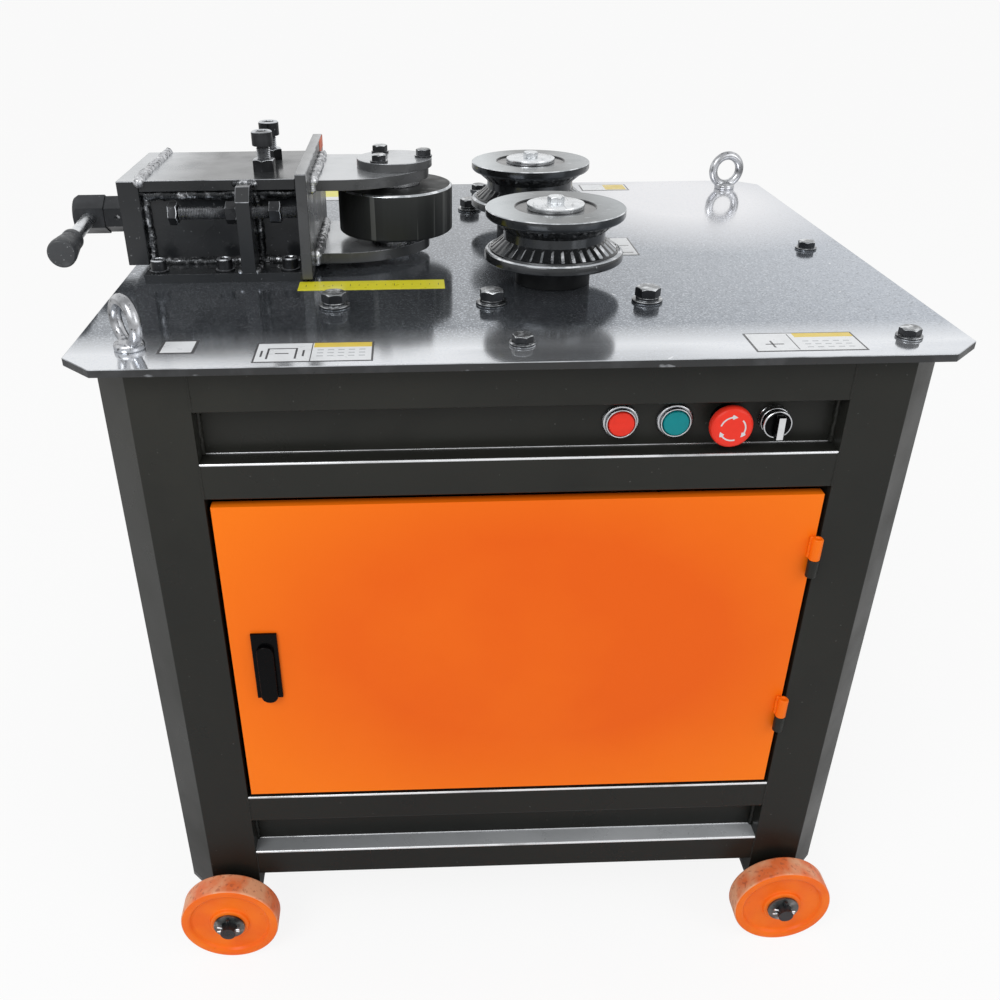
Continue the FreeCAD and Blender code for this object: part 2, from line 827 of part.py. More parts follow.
def panels():
    """The recessed sheets between the rails, and the pan that lies on the bottom rails."""
    def standing(low, high):
        return [(-post_edge_x, low), (post_edge_x, low), (post_edge_x, high), (-post_edge_x, high)]

    sheet_metal = d.sheet_thickness
    holes = [(x, control_z, d.panel_hole_radius) for x in control_places]
    front = (zero, -panel_back_y, zero)
    outline = standing(second_rail_top, top_rail_bottom)
    node("button_panel", plate("button_sheet", "XZ_Plane", outline, sheet_metal, front, holes))
    outline = standing(bottom_rail_top, third_rail_bottom)
    node("lower_panel", plate("lower_sheet", "XZ_Plane", outline, sheet_metal, front))
    outline = standing(bottom_rail_top, top_rail_bottom)
    gland_hole = [(d.gland_x, gland_z, d.gland_thread_radius + d.sliding_gap)]
    rear = (zero, panel_face_y, zero)
    node("rear_panel", plate("rear_sheet", "XZ_Plane", outline, sheet_metal, rear, gland_hole))
    face_x = cabinet_x - d.panel_setback
    back_x = face_x - sheet_metal
    sides = [
        box(f"{name}_sheet", (low, -post_edge_y, bottom_rail_top), (high, post_edge_y, top_rail_bottom))
        for name, low, high in (("left", -face_x, -back_x), ("right", back_x, face_x))
    ]
    node("side_panels", *sides)
    wide_x = back_x - d.pan_gap
    deep_y = panel_back_y - d.pan_gap
    notch_x = post_edge_x - d.pan_gap
    notch_y = post_edge_y - d.pan_gap
    quarter = [(wide_x, notch_y), (notch_x, notch_y), (notch_x, deep_y)]
    outline = quarter + [(-x, y) for x, y in reversed(quarter)]
    outline += [(-x, -y) for x, y in quarter] + [(x, -y) for x, y in reversed(quarter)]
    at = (zero, zero, bottom_rail_top)
    node("floor_pan", plate("pan_sheet", "XY_Plane", outline, sheet_metal, at))


# Wheels

def wheel_axles():
    """Foot plates that close the posts, each with two ears and the shouldered stub axle welded into them."""
    corner = d.post_corner_cut
    foot = [
        (post_edge_x, post_edge_y),
        (cabinet_x, post_edge_y),
        (cabinet_x, cabinet_y - corner),
        (cabinet_x - corner, cabinet_y),
        (post_edge_x, cabinet_y),
    ]
    half = d.ear_half_width
    low = axle_z - d.ear_drop
    ear = [
        (-half, foot_plate_bottom),
        (half, foot_plate_bottom),
        (half, axle_z),
        (half / 2, low),
        (-half / 2, low),
        (-half, axle_z),
    ]
    pieces = []
    for side in (-1, 1):
        for end in (-1, 1):
            tag = f"{'left' if side < 0 else 'right'}_{'front' if end < 0 else 'rear'}"
            axis = "Y" if end > 0 else "-Y"
            points = [(side * x, end * y) for x, y in foot]
            at = (zero, zero, foot_plate_bottom)
            weldment = [plate(f"foot_{tag}", "XY_Plane", points, d.foot_plate_thickness, at)]
            points = [(side * wheel_x + x, z) for x, z in ear]
            for order, depth in enumerate((zero, d.axle_ear_spacing)):
                near = cabinet_y - depth
                front = -near + d.ear_thickness if end < 0 else near
                at = (zero, front, zero)
                weldment.append(plate(f"ear_{tag}_{order}", "XZ_Plane", points, d.ear_thickness, at))
            start = cabinet_y - d.axle_ear_spacing - 2 * d.ear_thickness
            at = (side * wheel_x, end * start, axle_z)
            weldment.append(rod(f"axle_{tag}", d.axle_radius, axle_end_y - start, at, axis))
            at = (side * wheel_x, end * cabinet_y, axle_z)
            shoulder = d.wheel_gap - d.sliding_gap
            weldment.append(rod(f"shoulder_{tag}", d.axle_shoulder_radius, shoulder, at, axis))
            at = (side * wheel_x, end * split_pin_y, axle_z - d.split_pin_length / 2)
            weldment.append(rod(f"split_pin_{tag}", d.split_pin_radius, d.split_pin_length, at))
            pieces.append(fused(f"axle_bracket_{tag}", *weldment))
    node("wheel_axles", *pieces)


def wheel_washers():
    """The washer between each wheel and its split pin."""
    bore = d.axle_radius + d.running_clearance
    pieces = []
    for side in (-1, 1):
        for end in (-1, 1):
            at = (side * wheel_x, end * axle_washer_y, axle_z)
            length = d.axle_washer_thickness
            axis = "Y" if end > 0 else "-Y"
            pieces.append(ring(f"axle_washer_{len(pieces)}", d.axle_washer_radius, bore, length, at, axis))
    node("wheel_washers", *pieces)


def wheels():
    """Four dished wheels, each turned from one profile."""
    bore = d.axle_radius + d.running_clearance
    hub = d.wheel_hub_radius
    rim = d.wheel_radius - d.wheel_rim_depth
    edge = d.wheel_chamfer
    face = d.wheel_width
    profile = [
        (bore, zero),
        (d.wheel_radius - edge, zero),
        (d.wheel_radius, edge),
        (d.wheel_radius, face - edge),
        (d.wheel_radius - edge, face),
        (rim, face),
        (rim - d.wheel_dish / 2, face - d.wheel_dish),
        (hub + d.wheel_dish / 2, face - d.wheel_dish),
        (hub, face),
        (bore, face),
    ]
    for end, end_name in ((-1, "front"), (1, "rear")):
        for side, side_name in ((-1, "left"), (1, "right")):
            at = (side * wheel_x, end * wheel_near_y, axle_z)
            body = turned(f"wheel_disc_{end_name}_{side_name}", profile, at, "Y" if end > 0 else "-Y")
            node(f"wheel_{end_name}_{side_name}", body)


# Door

def frame_hinge_knuckles():
    """The lower half of each hinge with its pin, welded to the front of the post."""
    pieces = []
    for index, joint in enumerate(hinge_heights):
        top = joint - d.sliding_gap
        low = top - d.hinge_foot_length
        wing_back = -cabinet_y
        wing = box(
            f"frame_wing_{index}",
            (door_edge_x + d.hinge_wing_gap, wing_back - d.hinge_wing_thickness, low),
            (door_edge_x + d.hinge_wing, wing_back, top),
        )
        axis = (door_edge_x, hinge_axis_y)
        barrel = rod(f"frame_barrel_{index}", d.hinge_radius, d.hinge_foot_length, (*axis, low))
        pin_length = d.hinge_length - d.hinge_pin_radius
        pin = rod(f"frame_pin_{index}", d.hinge_pin_radius, pin_length, (*axis, top))
        pieces.append(fused(f"frame_knuckle_{index}", barrel, wing, pin))
    node("frame_hinge_knuckles", *pieces)


def door():
    """The folded door sheet, its hinge halves and the latch plate, with holes for the latch."""
    low = (-door_edge_x, -cabinet_y, door_bottom)
    high = (door_edge_x, -cabinet_y + d.door_fold, door_top)
    wall = d.sheet_thickness
    inner_low = (-door_edge_x + wall, -cabinet_y + wall, door_bottom + wall)
    inner_high = (door_edge_x - wall, -cabinet_y + d.door_fold, door_top - wall)
    shaft = d.latch_shaft_radius + d.running_clearance
    hole_at = (latch_x, -cabinet_y + wall, latch_pivot_z)
    node(
        "door_panel",
        cut(
            "door_sheet",
            box("door_outside", low, high),
            box("door_inside", inner_low, inner_high),
            rod("door_hole", shaft, wall, hole_at, "-Y"),
        ),
    )
    pieces = []
    for index, joint in enumerate(hinge_heights):
        axis = (door_edge_x, hinge_axis_y)
        bore_length = d.hinge_length - d.hinge_pin_radius / 2
        barrel = rod(f"door_barrel_{index}", d.hinge_radius, d.hinge_length, (*axis, joint))
        wing = box(
            f"door_wing_{index}",
            (door_edge_x - d.hinge_wing, -cabinet_y - d.hinge_wing_thickness, joint),
            (door_edge_x - d.sliding_gap, -cabinet_y, joint + d.hinge_length),
        )
        bore_radius = d.hinge_pin_radius + d.running_clearance
        bore = rod(f"door_bore_{index}", bore_radius, bore_length, (*axis, joint))
        pieces.append(cut(f"door_knuckle_{index}", fused(f"door_knuckle_solid_{index}", barrel, wing), bore))
    node("door_hinge_knuckles", *pieces)
    half = d.latch_plate_width / 2
    top = door_top - d.latch_below + d.latch_plate_height / 2
    outline = [
        (latch_x - half, top - d.latch_plate_height),
        (latch_x + half, top - d.latch_plate_height),
        (latch_x + half, top),
        (latch_x - half, top),
    ]
    holes = [(latch_x, latch_pivot_z, shaft)]
    at = (zero, -cabinet_y, zero)
    node("latch_plate", plate("latch_base", "XZ_Plane", outline, d.latch_plate_thickness, at, holes))


def latch_handle():
    """The round-ended latch lever, its shaft through the door, and the tongue behind the door."""
    front = -cabinet_y - d.latch_plate_thickness - d.sliding_gap
    half = d.latch_handle_width / 2
    tip_z = latch_pivot_z + d.latch_handle_width - d.latch_handle_length
    lever = fused(
        "latch_lever",
        box(
            "latch_lever_middle",
            (latch_x - half, front - d.latch_handle_thickness, tip_z),
            (latch_x + half, front, latch_pivot_z),
        ),
        rod("latch_lever_head", half, d.latch_handle_thickness, (latch_x, front, latch_pivot_z), "-Y"),
        rod("latch_lever_tip", half, d.latch_handle_thickness, (latch_x, front, tip_z), "-Y"),
    )
    back = -cabinet_y + d.door_fold + d.sliding_gap
    shaft_end = back + d.latch_tongue_thickness
    shaft = rod(
        "latch_shaft", d.latch_shaft_radius, shaft_end - front, (latch_x, front, latch_pivot_z), "Y"
    )
    half = d.latch_tongue_width / 2
    tongue = box(
        "latch_tongue",
        (-door_edge_x + d.latch_tongue_short, back, latch_pivot_z - half),
        (latch_x + half, shaft_end, latch_pivot_z + half),
    )
    node("latch_handle", fused("latch_lever_and_tongue", lever, shaft, tongue))


# Controls

def bezel(name, x, outer, height, recess=None):
    """A round bezel on the panel with its barrel through the panel's hole."""
    panel_front = d.barrel_length + d.sheet_thickness
    front = panel_front + height
    bore = d.stem_radius + d.sliding_gap
    profile = [
        (bore, zero),
        (d.barrel_radius, zero),
        (d.barrel_radius, panel_front),
        (outer, panel_front),
        (outer, front - d.bezel_chamfer),
        (outer - d.bezel_chamfer, front),
    ]
    if recess is not None:
        profile += [(recess, front), (recess, front - d.bezel_recess), (bore, front - d.bezel_recess)]
    else:
        profile.append((bore, front))
    return turned(name, profile, (x, -panel_back_y + d.barrel_length, control_z), "-Y")


def control_bezels():
    """A bezel for each control, recessed for the two flat caps."""
    recess = d.cap_radius + d.sliding_gap
    node(
        "control_bezels",
        bezel("bezel_stop", d.stop_button_x, d.bezel_radius, d.bezel_height, recess),
        bezel("bezel_start", d.start_button_x, d.bezel_radius, d.bezel_height, recess),
        bezel("bezel_emergency", d.emergency_button_x, d.collar_radius, d.collar_height),
        bezel("bezel_selector", d.selector_x, d.selector_bezel_radius, d.selector_bezel_height),
    )


def switch_blocks():
    """The switch housing behind each control."""
    pieces = []
    back = -panel_back_y + d.barrel_length
    half = d.switch_block_width / 2
    rise = d.switch_block_height / 2
    for x in control_places:
        low = (x - half, back, control_z - rise)
        high = (x + half, back + d.switch_block_depth, control_z + rise)
        pieces.append(box(f"switch_block_{len(pieces)}", low, high))
    node("switch_blocks", *pieces)


def push_button(name, x):
    """A flat cap on a stem, with room behind the stem for its travel."""
    front = d.bezel_height + d.cap_proud
    cap_back = d.bezel_height - d.cap_proud
    stem_end = d.button_travel + d.stem_spare - d.sheet_thickness - d.barrel_length
    profile = [
        (zero, stem_end),
        (d.stem_radius, stem_end),
        (d.stem_radius, cap_back),
        (d.cap_radius, cap_back),
        (d.cap_radius, front - d.cap_edge),
        (d.cap_radius - d.cap_edge, front),
        (zero, front),
    ]
    node(name, turned(f"{name}_cap", profile, (x, -panel_face_y, control_z), "-Y"))


def emergency_button():
    """A domed mushroom head on its stem."""
    back = d.collar_height + d.mushroom_travel + d.stem_spare
    front = back + d.mushroom_height
    stem_end = d.mushroom_travel + d.stem_spare - d.sheet_thickness - d.barrel_length
    edge = d.mushroom_edge
    profile = [
        (zero, stem_end),
        (d.stem_radius, stem_end),
        (d.stem_radius, back),
        (d.mushroom_back_radius, back),
        (d.mushroom_radius, back + edge),
        (d.mushroom_radius, front - edge),
        (d.mushroom_shoulder_radius, front - edge / 3),
        (d.mushroom_crown_radius, front),
        (zero, front),
    ]
    at = (d.emergency_button_x, -panel_face_y, control_z)
    node("emergency_button", turned("mushroom", profile, at, "-Y"))


def selector_knob():
    """A round head with a raised lever that points at a position."""
    back = d.selector_bezel_height + d.sliding_gap
    front = back + d.selector_head_height
    stem_end = d.stem_spare - d.sheet_thickness - d.barrel_length
    profile = [
        (zero, stem_end),
        (d.stem_radius, stem_end),
        (d.stem_radius, back),
        (d.selector_head_radius, back),
        (d.selector_head_radius, front),
        (zero, front),
    ]
    head = turned("selector_head", profile, (d.selector_x, -panel_face_y, control_z), "-Y")
    half = d.selector_lever_width / 2
    reach = d.selector_lever_length / 2
    lever = box(
        "selector_lever",
        (d.selector_x - half, -panel_face_y - front - d.selector_lever_height, control_z - reach),
        (d.selector_x + half, -panel_face_y - front, control_z + reach),
    )
    node("selector_knob", fused("selector_head_and_lever", head, lever))


# Press box

def press_box():
    """The welded box that guides the ram: base, end, top and side plates with the lugs for the stops."""
    left = -d.base_left
    half = d.base_half_width
    outline = [(left, -half), (-d.base_right, -half), (-d.base_right, half), (left, half)]
    holes = [(x, y, d.base_screw_radius + d.bolt_clearance) for x, y in base_screw_places]
    origin = (zero, zero, zero)
    node("press_base_plate", plate("base_sheet", "XY_Plane", outline, d.base_thickness, origin, holes))

    half = d.end_plate_half_width
    low = d.end_plate_lift
    outline = [(-half, low), (half, low), (half, d.box_height), (-half, d.box_height)]
    hole = [(zero, d.screw_z, d.screw_radius + d.running_clearance)]
    at = (end_plate_left, zero, zero)
    node("press_end_plate", plate("end_sheet", "YZ_Plane", outline, d.end_plate_thickness, at, hole))

    half = d.top_plate_half_width
    outline = [(end_plate_right, -half), (box_right, -half), (box_right, half), (end_plate_right, half)]
    hole = d.set_screw_radius + d.bolt_clearance
    holes = [(-d.set_screw_x, side * d.set_screw_y, hole) for side in (-1, 1)]
    at = (zero, zero, top_plate_bottom)
    node("press_top_plate", plate("top_sheet", "XY_Plane", outline, d.top_plate_thickness, at, holes))

    pieces = []
    lug_in = d.top_plate_half_width + d.sliding_gap
    out = d.base_half_width
    lug = [
        (d.side_plate_out, d.base_thickness),
        (out, d.base_thickness),
        (out, d.lug_height - d.lug_chamfer),
        (out - d.lug_chamfer, d.lug_height),
        (lug_in, d.lug_height),
        (lug_in, top_plate_bottom),
        (d.side_plate_out, top_plate_bottom),
    ]
    for side, side_name in ((-1, "front"), (1, "rear")):
        low_y = -d.side_plate_out if side < 0 else side_plate_in
        low = (end_plate_right, low_y, d.base_thickness)
        high = (box_right, low_y + d.side_plate_thickness, top_plate_bottom)
        pieces.append(box(f"side_wall_{side_name}", low, high))
        points = [(side * y, z) for y, z in lug]
        hole = [(side * d.stop_bolt_y, d.stop_bolt_z, d.stop_bolt_radius + d.sliding_gap)]
        at = (-d.lug_left, zero, zero)
        pieces.append(plate(f"lug_{side_name}", "YZ_Plane", points, d.lug_thickness, at, hole))
    node("press_side_plates", *pieces)


def press_screws():
    """Base screws with washers, and the two set screws with their lock nuts."""
    pieces = []
    washer_top = d.base_thickness + d.base_washer_thickness
    for index, (x, y) in enumerate(base_screw_places):
        at = (x, y, d.base_thickness)
        washer = rod(f"base_washer_{index}", d.base_washer_radius, d.base_washer_thickness, at)
        length = washer_top + d.table_thickness + d.base_thickness
        pieces.append(
            socket_screw(
                f"base_screw_{index}",
                d.base_screw_head_radius,
                d.base_screw_head_height,
                d.base_screw_socket,
                d.base_screw_radius,
                length,
                (x, y, washer_top),
                washer,
            )
        )
    for side, side_name in ((-1, "front"), (1, "rear")):
        x = -d.set_screw_x
        y = side * d.set_screw_y
        at = (x, y, d.box_height)
        lock_nut = hexagon(f"set_nut_{side_name}", d.set_screw_nut_flats, d.set_screw_nut_height, at)
        head_bottom = d.box_height + d.set_screw_rise
        length = head_bottom - (top_plate_bottom - d.ram_clearance + d.sliding_gap)
        pieces.append(
            socket_screw(
                f"set_screw_{side_name}",
                d.set_screw_head_radius,
                d.set_screw_head_height,
                d.set_screw_socket,
                d.set_screw_radius,
                length,
                (x, y, head_bottom),
                lock_nut,
            )
        )
    node("press_screws", *pieces)


def stop_bolts():
    """The long bolts through the lugs that stop the flange plate, each with two nuts."""
    pieces = []
    head_right = -d.stop_bolt_head_left + d.stop_bolt_head_height
    end = flange_left - d.sliding_gap
    for side, side_name in ((-1, "front"), (1, "rear")):
        y = side * d.stop_bolt_y
        z = d.stop_bolt_z
        flats = d.stop_bolt_flats
        height = d.stop_nut_height
        head_at = (-d.stop_bolt_head_left, y, z)
        head = hexagon(f"stop_head_{side_name}", flats, d.stop_bolt_head_height, head_at, "X")
        shank = rod(f"stop_shank_{side_name}", d.stop_bolt_radius, end - head_right, (head_right, y, z), "X")
        nuts = [
            hexagon(f"stop_nut_{place}_{side_name}", flats, height, (x - height, y, z), "X")
            for place, x in (("lug", -d.lug_left), ("end", -d.stop_nut_right))
        ]
        pieces.append(fused(f"stop_bolt_{side_name}", head, shank, *nuts))
    node("stop_bolts", *pieces)


# Press screw and crank

def lead_screw():
    """The screw with the collar that holds it against the inside of the end plate."""
    collar_left = end_plate_right + d.sliding_gap
    collar_right = collar_left + d.screw_collar_thickness
    length = -d.screw_tip - screw_left
    profile = [
        (zero, zero),
        (d.screw_radius, zero),
        (d.screw_radius, collar_left - screw_left),
        (d.screw_collar_radius, collar_left - screw_left),
        (d.screw_collar_radius, collar_right - screw_left),
        (d.screw_radius, collar_right - screw_left),
        (d.screw_radius, length - d.screw_chamfer),
        (d.screw_radius - d.screw_chamfer, length),
        (zero, length),
    ]
    node("lead_screw", turned("screw_bar", profile, (screw_left, zero, d.screw_z), "X"))


def along_crank(piece, x, along):
    """Turn an upright piece to the crank's tilt and stand it on the rod's line."""
    angle = f"({formula(d.crank_tilt)} * 1deg)"
    turn = FreeCAD.Rotation(vector(1, 0, 0), 90 + number(d.crank_tilt))
    piece.Placement = FreeCAD.Placement(vector(), turn)
    piece.setExpression("Placement.Rotation.Angle", formula(d.crank_tilt + 90))
    piece.setExpression("Placement.Base.x", formula(x))
    piece.setExpression("Placement.Base.y", f"-1 * {formula(along)} * cos({angle})")
    piece.setExpression("Placement.Base.z", f"{formula(d.screw_z)} - {formula(along)} * sin({angle})")
    return piece


def crank_hub():
    """The hub in two hexagons: a pinned collar on the screw, and a sleeve with the cross hole for the rod."""
    bore = d.screw_radius + d.running_clearance
    collar_at = (hub_joint, zero, d.screw_z)
    pin_at = (hub_joint + d.hub_pin_hole_from_sleeve, zero, d.screw_z)
    collar = cut(
        "hub_collar",
        hexagon("hub_collar_bar", d.hub_collar_flats, d.hub_collar_length, collar_at, "X"),
        rod("hub_collar_bore", bore, d.hub_collar_length, collar_at, "X"),
        rod("hub_pin_hole", d.hub_pin_hole_radius, d.hub_collar_flats, pin_at, "-Y"),
    )
    sleeve_at = (hub_left, zero, d.screw_z)
    corner = d.hub_sleeve_flats / 3**0.5
    chamfered = [
        (zero, zero),
        (d.hub_sleeve_flats / 2, zero),
        (corner, d.hub_chamfer),
        (corner, d.hub_sleeve_length),
        (zero, d.hub_sleeve_length),
    ]
    sleeve_bar = shared(
        "hub_sleeve_bar",
        hexagon("hub_sleeve_hexagon", d.hub_sleeve_flats, d.hub_sleeve_length, sleeve_at, "X"),
        turned("hub_sleeve_chamfer", chamfered, sleeve_at, "X"),
    )
    cross_radius = d.crank_rod_radius + d.running_clearance
    cross_length = d.crank_rod_tail + d.hub_sleeve_flats
    cross_hole = rod("crank_cross_hole", cross_radius, cross_length, (zero, zero, zero))
    sleeve = cut(
        "hub_sleeve",
        sleeve_bar,
        rod("hub_sleeve_bore", bore, d.hub_grip_on_screw, (screw_left, zero, d.screw_z), "X"),
        along_crank(cross_hole, crank_rod_x, -d.crank_rod_tail),
    )
    node("crank_hub", collar, sleeve)


def crank_handle():
    """The bright rod across the hub and the tapered grip on its end."""
    inside = d.crank_grip_length - d.crank_grip_end_wall
    length = d.crank_rod_tail + d.crank_grip_start + inside
    bar = rod("crank_bar", d.crank_rod_radius, length, (zero, zero, zero))
    node("crank_rod", along_crank(bar, crank_rod_x, -d.crank_rod_tail))
    fit = d.crank_rod_radius + d.running_clearance
    profile = [
        (fit, zero),
        (d.crank_grip_small_radius, zero),
        (d.crank_grip_big_radius, d.crank_grip_taper),
        (d.crank_grip_big_radius, d.crank_grip_length - d.crank_grip_edge),
        (d.crank_grip_big_radius - d.crank_grip_edge, d.crank_grip_length),
        (zero, d.crank_grip_length),
        (zero, inside),
        (fit, inside),
    ]
    grip = turned("crank_sleeve", profile, (zero, zero, zero))
    node("crank_grip", along_crank(grip, crank_rod_x, d.crank_grip_start))


# Ram, fork and press roller

def ram():
    """The block that slides in the box, with its nut and the flange plate on its front."""
    gap = d.ram_clearance
    half = side_plate_in - gap
    low = (-d.ram_left, -half, d.base_thickness + gap)
    high = (flange_left, half, top_plate_bottom - gap)
    at = (-d.ram_left, zero, d.screw_z)
    screw_reach = d.ram_left - d.screw_tip + d.screw_end_room
    node(
        "ram_block",
        cut(
            "ram_body",
            box("ram_bar", low, high),
            rod("ram_nut_seat", d.nut_radius + d.running_clearance, d.nut_seat_depth, at, "X"),
            rod("ram_screw_bore", d.screw_radius + gap, screw_reach, at, "X"),
        ),
    )
    at = (-d.ram_left + d.nut_seat_depth - d.nut_length, zero, d.screw_z)
    bore = d.screw_radius + d.running_clearance
    node("screw_nut", ring("nut_sleeve", d.nut_radius, bore, d.nut_length, at, "X"))
    node(
        "flange_plate",
        box(
            "flange_bar",
            (flange_left, -d.flange_half_width, d.flange_lift),
            (flange_right, d.flange_half_width, d.flange_top),
        ),
    )


def fork_plate(name, z, holes):
    """One fork plate: straight by the flange, drawn in by two large arcs to a round nose."""
    thickness = d.fork_thickness
    straight = box(
        f"{name}_straight",
        (flange_right, -d.fork_half_width, z),
        (fork_bend_x, d.fork_half_width, z + thickness),
    )
    drawn_in = shared(
        f"{name}_drawn_in",
        rod(f"{name}_front_arc", d.fork_side_radius, thickness, (fork_bend_x, -fork_arc_y, z)),
        rod(f"{name}_rear_arc", d.fork_side_radius, thickness, (fork_bend_x, fork_arc_y, z)),
        box(
            f"{name}_middle",
            (fork_bend_x, -d.fork_half_width, z),
            (fork_tangent_x, d.fork_half_width, z + thickness),
        ),
    )
    nose = rod(f"{name}_nose", d.fork_nose_radius, thickness, (fork_nose_x, zero, z))
    solid = fused(f"{name}_solid", straight, drawn_in, nose)
    bores = [
        rod(f"{name}_bore_{index}", radius, thickness, (x, y, z))
        for index, (x, y, radius) in enumerate(holes)
    ]
    return cut(name, solid, *bores)


keeper_bolt_places = [
    (
        d.keeper_bolt_circle * math.cos(math.radians(angle)) - d.press_roller_x,
        d.keeper_bolt_circle * math.sin(math.radians(angle)),
    )
    for angle in (0, 120, 240)
]


def fork():
    """The two fork plates, the roller's pin with its thrust washers, and the keeper plate over it."""
    pin_bore = (-d.press_roller_x, zero, d.roller_pin_radius + d.running_clearance)
    bolt_bores = [(x, y, d.keeper_bolt_radius + d.sliding_gap) for x, y in keeper_bolt_places]
    node(
        "fork_plates",
        fork_plate("lower_fork", d.fork_lower_z, [pin_bore]),
        fork_plate("upper_fork", d.fork_upper_z, [pin_bore] + bolt_bores),
    )
    at = (-d.press_roller_x, zero, d.fork_lower_z)
    bore = d.roller_pin_radius + d.running_clearance
    washer = press_roller_bottom - fork_lower_top - d.sliding_gap
    pin = rod("pin_bar", d.roller_pin_radius, fork_upper_top - d.fork_lower_z, at)
    at = (-d.press_roller_x, zero, fork_lower_top)
    lower = ring("lower_thrust_washer", d.thrust_washer_radius, bore, washer, at)
    at = (-d.press_roller_x, zero, press_roller_top + d.sliding_gap)
    upper = ring("upper_thrust_washer", d.thrust_washer_radius, bore, washer, at)
    node("roller_pin", pin, lower, upper)
    at = (-d.press_roller_x, zero, fork_upper_top)
    disc = rod("keeper_disc", d.keeper_radius, d.keeper_thickness, at)
    bolt_hole = d.keeper_bolt_radius + d.sliding_gap
    bores = [
        rod(f"keeper_bore_{index}", bolt_hole, d.keeper_thickness, (x, y, fork_upper_top))
        for index, (x, y) in enumerate(keeper_bolt_places)
    ]
    node("keeper_plate", cut("keeper_drilled", disc, *bores))
    length = d.keeper_thickness + d.fork_thickness
    washers = [(d.keeper_washer_radius, d.keeper_washer_thickness)]
    pieces = [
        hexagon_bolt(
            f"keeper_bolt_{index}",
            d.keeper_bolt_flats,
            d.keeper_bolt_head,
            d.keeper_bolt_radius,
            length,
            (x, y, keeper_top),
            washers,
        )
        for index, (x, y) in enumerate(keeper_bolt_places)
    ]
    node("keeper_bolts", *pieces)


def press_roller():
    """The plain roller with its bush."""
    edge = d.press_roller_chamfer
    radius = d.press_roller_radius
    height = d.press_roller_height
    bore = d.press_bush_radius + d.running_clearance
    profile = [
        (bore, zero),
        (radius - edge, zero),
        (radius, edge),
        (radius, height - edge),
        (radius - edge, height),
        (bore, height),
    ]
    at = (-d.press_roller_x, zero, press_roller_bottom)
    pin_bore = d.roller_pin_radius + d.running_clearance
    node(
        "press_roller",
        turned("press_roller_disc", profile, at),
        ring("press_roller_bush", d.press_bush_radius, pin_bore, height, at),
    )


# Driven rollers

def serrated_disc(name, profile, at, rim_height, neck_height_at):
    """A turned disc whose cone is cut by grooves that follow its slope."""
    disc = turned(name, profile, at)
    run = cone_radius - d.roller_neck_radius
    rise = neck_height_at - rim_height
    slope = f"atan2({formula(rise)}; {formula(run)})"
    sketch = sketch_on(disc, f"{name}_groove_outline", "YZ_Plane")
    half = d.serration_half_width
    depth = d.serration_depth if number(rise) > 0 else -d.serration_depth
    draw_outline(sketch, [(-half, depth), (half, depth), (zero, -depth)])
    sketch.AttachmentOffset = FreeCAD.Placement(vector(), FreeCAD.Rotation(vector(1, 0, 0), 1))
    sketch.setExpression("AttachmentOffset.Base.y", formula(rim_height))
    sketch.setExpression("AttachmentOffset.Base.z", formula(cone_radius))
    sketch.setExpression("AttachmentOffset.Rotation.Angle", slope)
    groove = disc.newObject("PartDesign::Pocket", f"{name}_groove")
    groove.Profile = sketch
    groove.setExpression("Length", f"sqrt({formula(run * run + rise * rise)}) * 2")
    groove.Midplane = True
    pattern = disc.newObject("PartDesign::PolarPattern", f"{name}_grooves")
    pattern.Originals = [groove]
    pattern.Axis = (origin_feature(disc, "Z_Axis"), [""])
    pattern.Angle = 360
    pattern.setExpression("Occurrences", formula(d.serration_count))
    disc.Tip = pattern
    return disc


def drive_rollers():
    """Two stacks of a lower disc, a neck ring and an upper disc."""
    bore = d.shaft_radius + d.running_clearance
    neck = d.roller_neck_radius
    radius = d.roller_radius
    band = d.roller_band
    cone = d.roller_cone_height
    lower = [
        (bore, zero),
        (radius, zero),
        (radius, band - d.roller_rim_chamfer),
        (cone_radius, band),
        (neck, band + cone),
        (bore, band + cone),
    ]
    upper = [
        (bore, zero),
        (neck, zero),
        (cone_radius, cone),
        (radius, cone + d.roller_rim_chamfer),
        (radius, cone + band),
        (d.roller_recess_radius, cone + band),
        (d.roller_recess_radius, cone + band - d.roller_recess_depth),
        (bore, cone + band - d.roller_recess_depth),
    ]
    for (x, y), place in zip(roller_places, ("front", "rear")):
        lower_disc = serrated_disc(f"lower_disc_{place}", lower, (x, y, roller_bottom), band, band + cone)
        upper_disc = serrated_disc(f"upper_disc_{place}", upper, (x, y, neck_top), cone, zero)
        collar = ring(f"neck_{place}", neck, bore, d.neck_height, (x, y, neck_bottom))
        node(f"drive_roller_{place}", lower_disc, collar, upper_disc)


def roller_shafts():
    """Each roller's shaft, with the washer and bolt that hold the roller on."""
    floor = roller_recess_floor
    washer_top = floor + d.top_washer_thickness
    for (x, y), place in zip(roller_places, ("front", "rear")):
        shaft = rod(f"shaft_bar_{place}", d.shaft_radius, floor - gear_bottom, (x, y, gear_bottom))
        washer = rod(f"shaft_washer_{place}", d.top_washer_radius, d.top_washer_thickness, (x, y, floor))
        head = hexagon(f"shaft_bolt_{place}", d.top_bolt_flats, d.top_bolt_head, (x, y, washer_top))
        node(f"roller_shaft_{place}", shaft, washer, head)


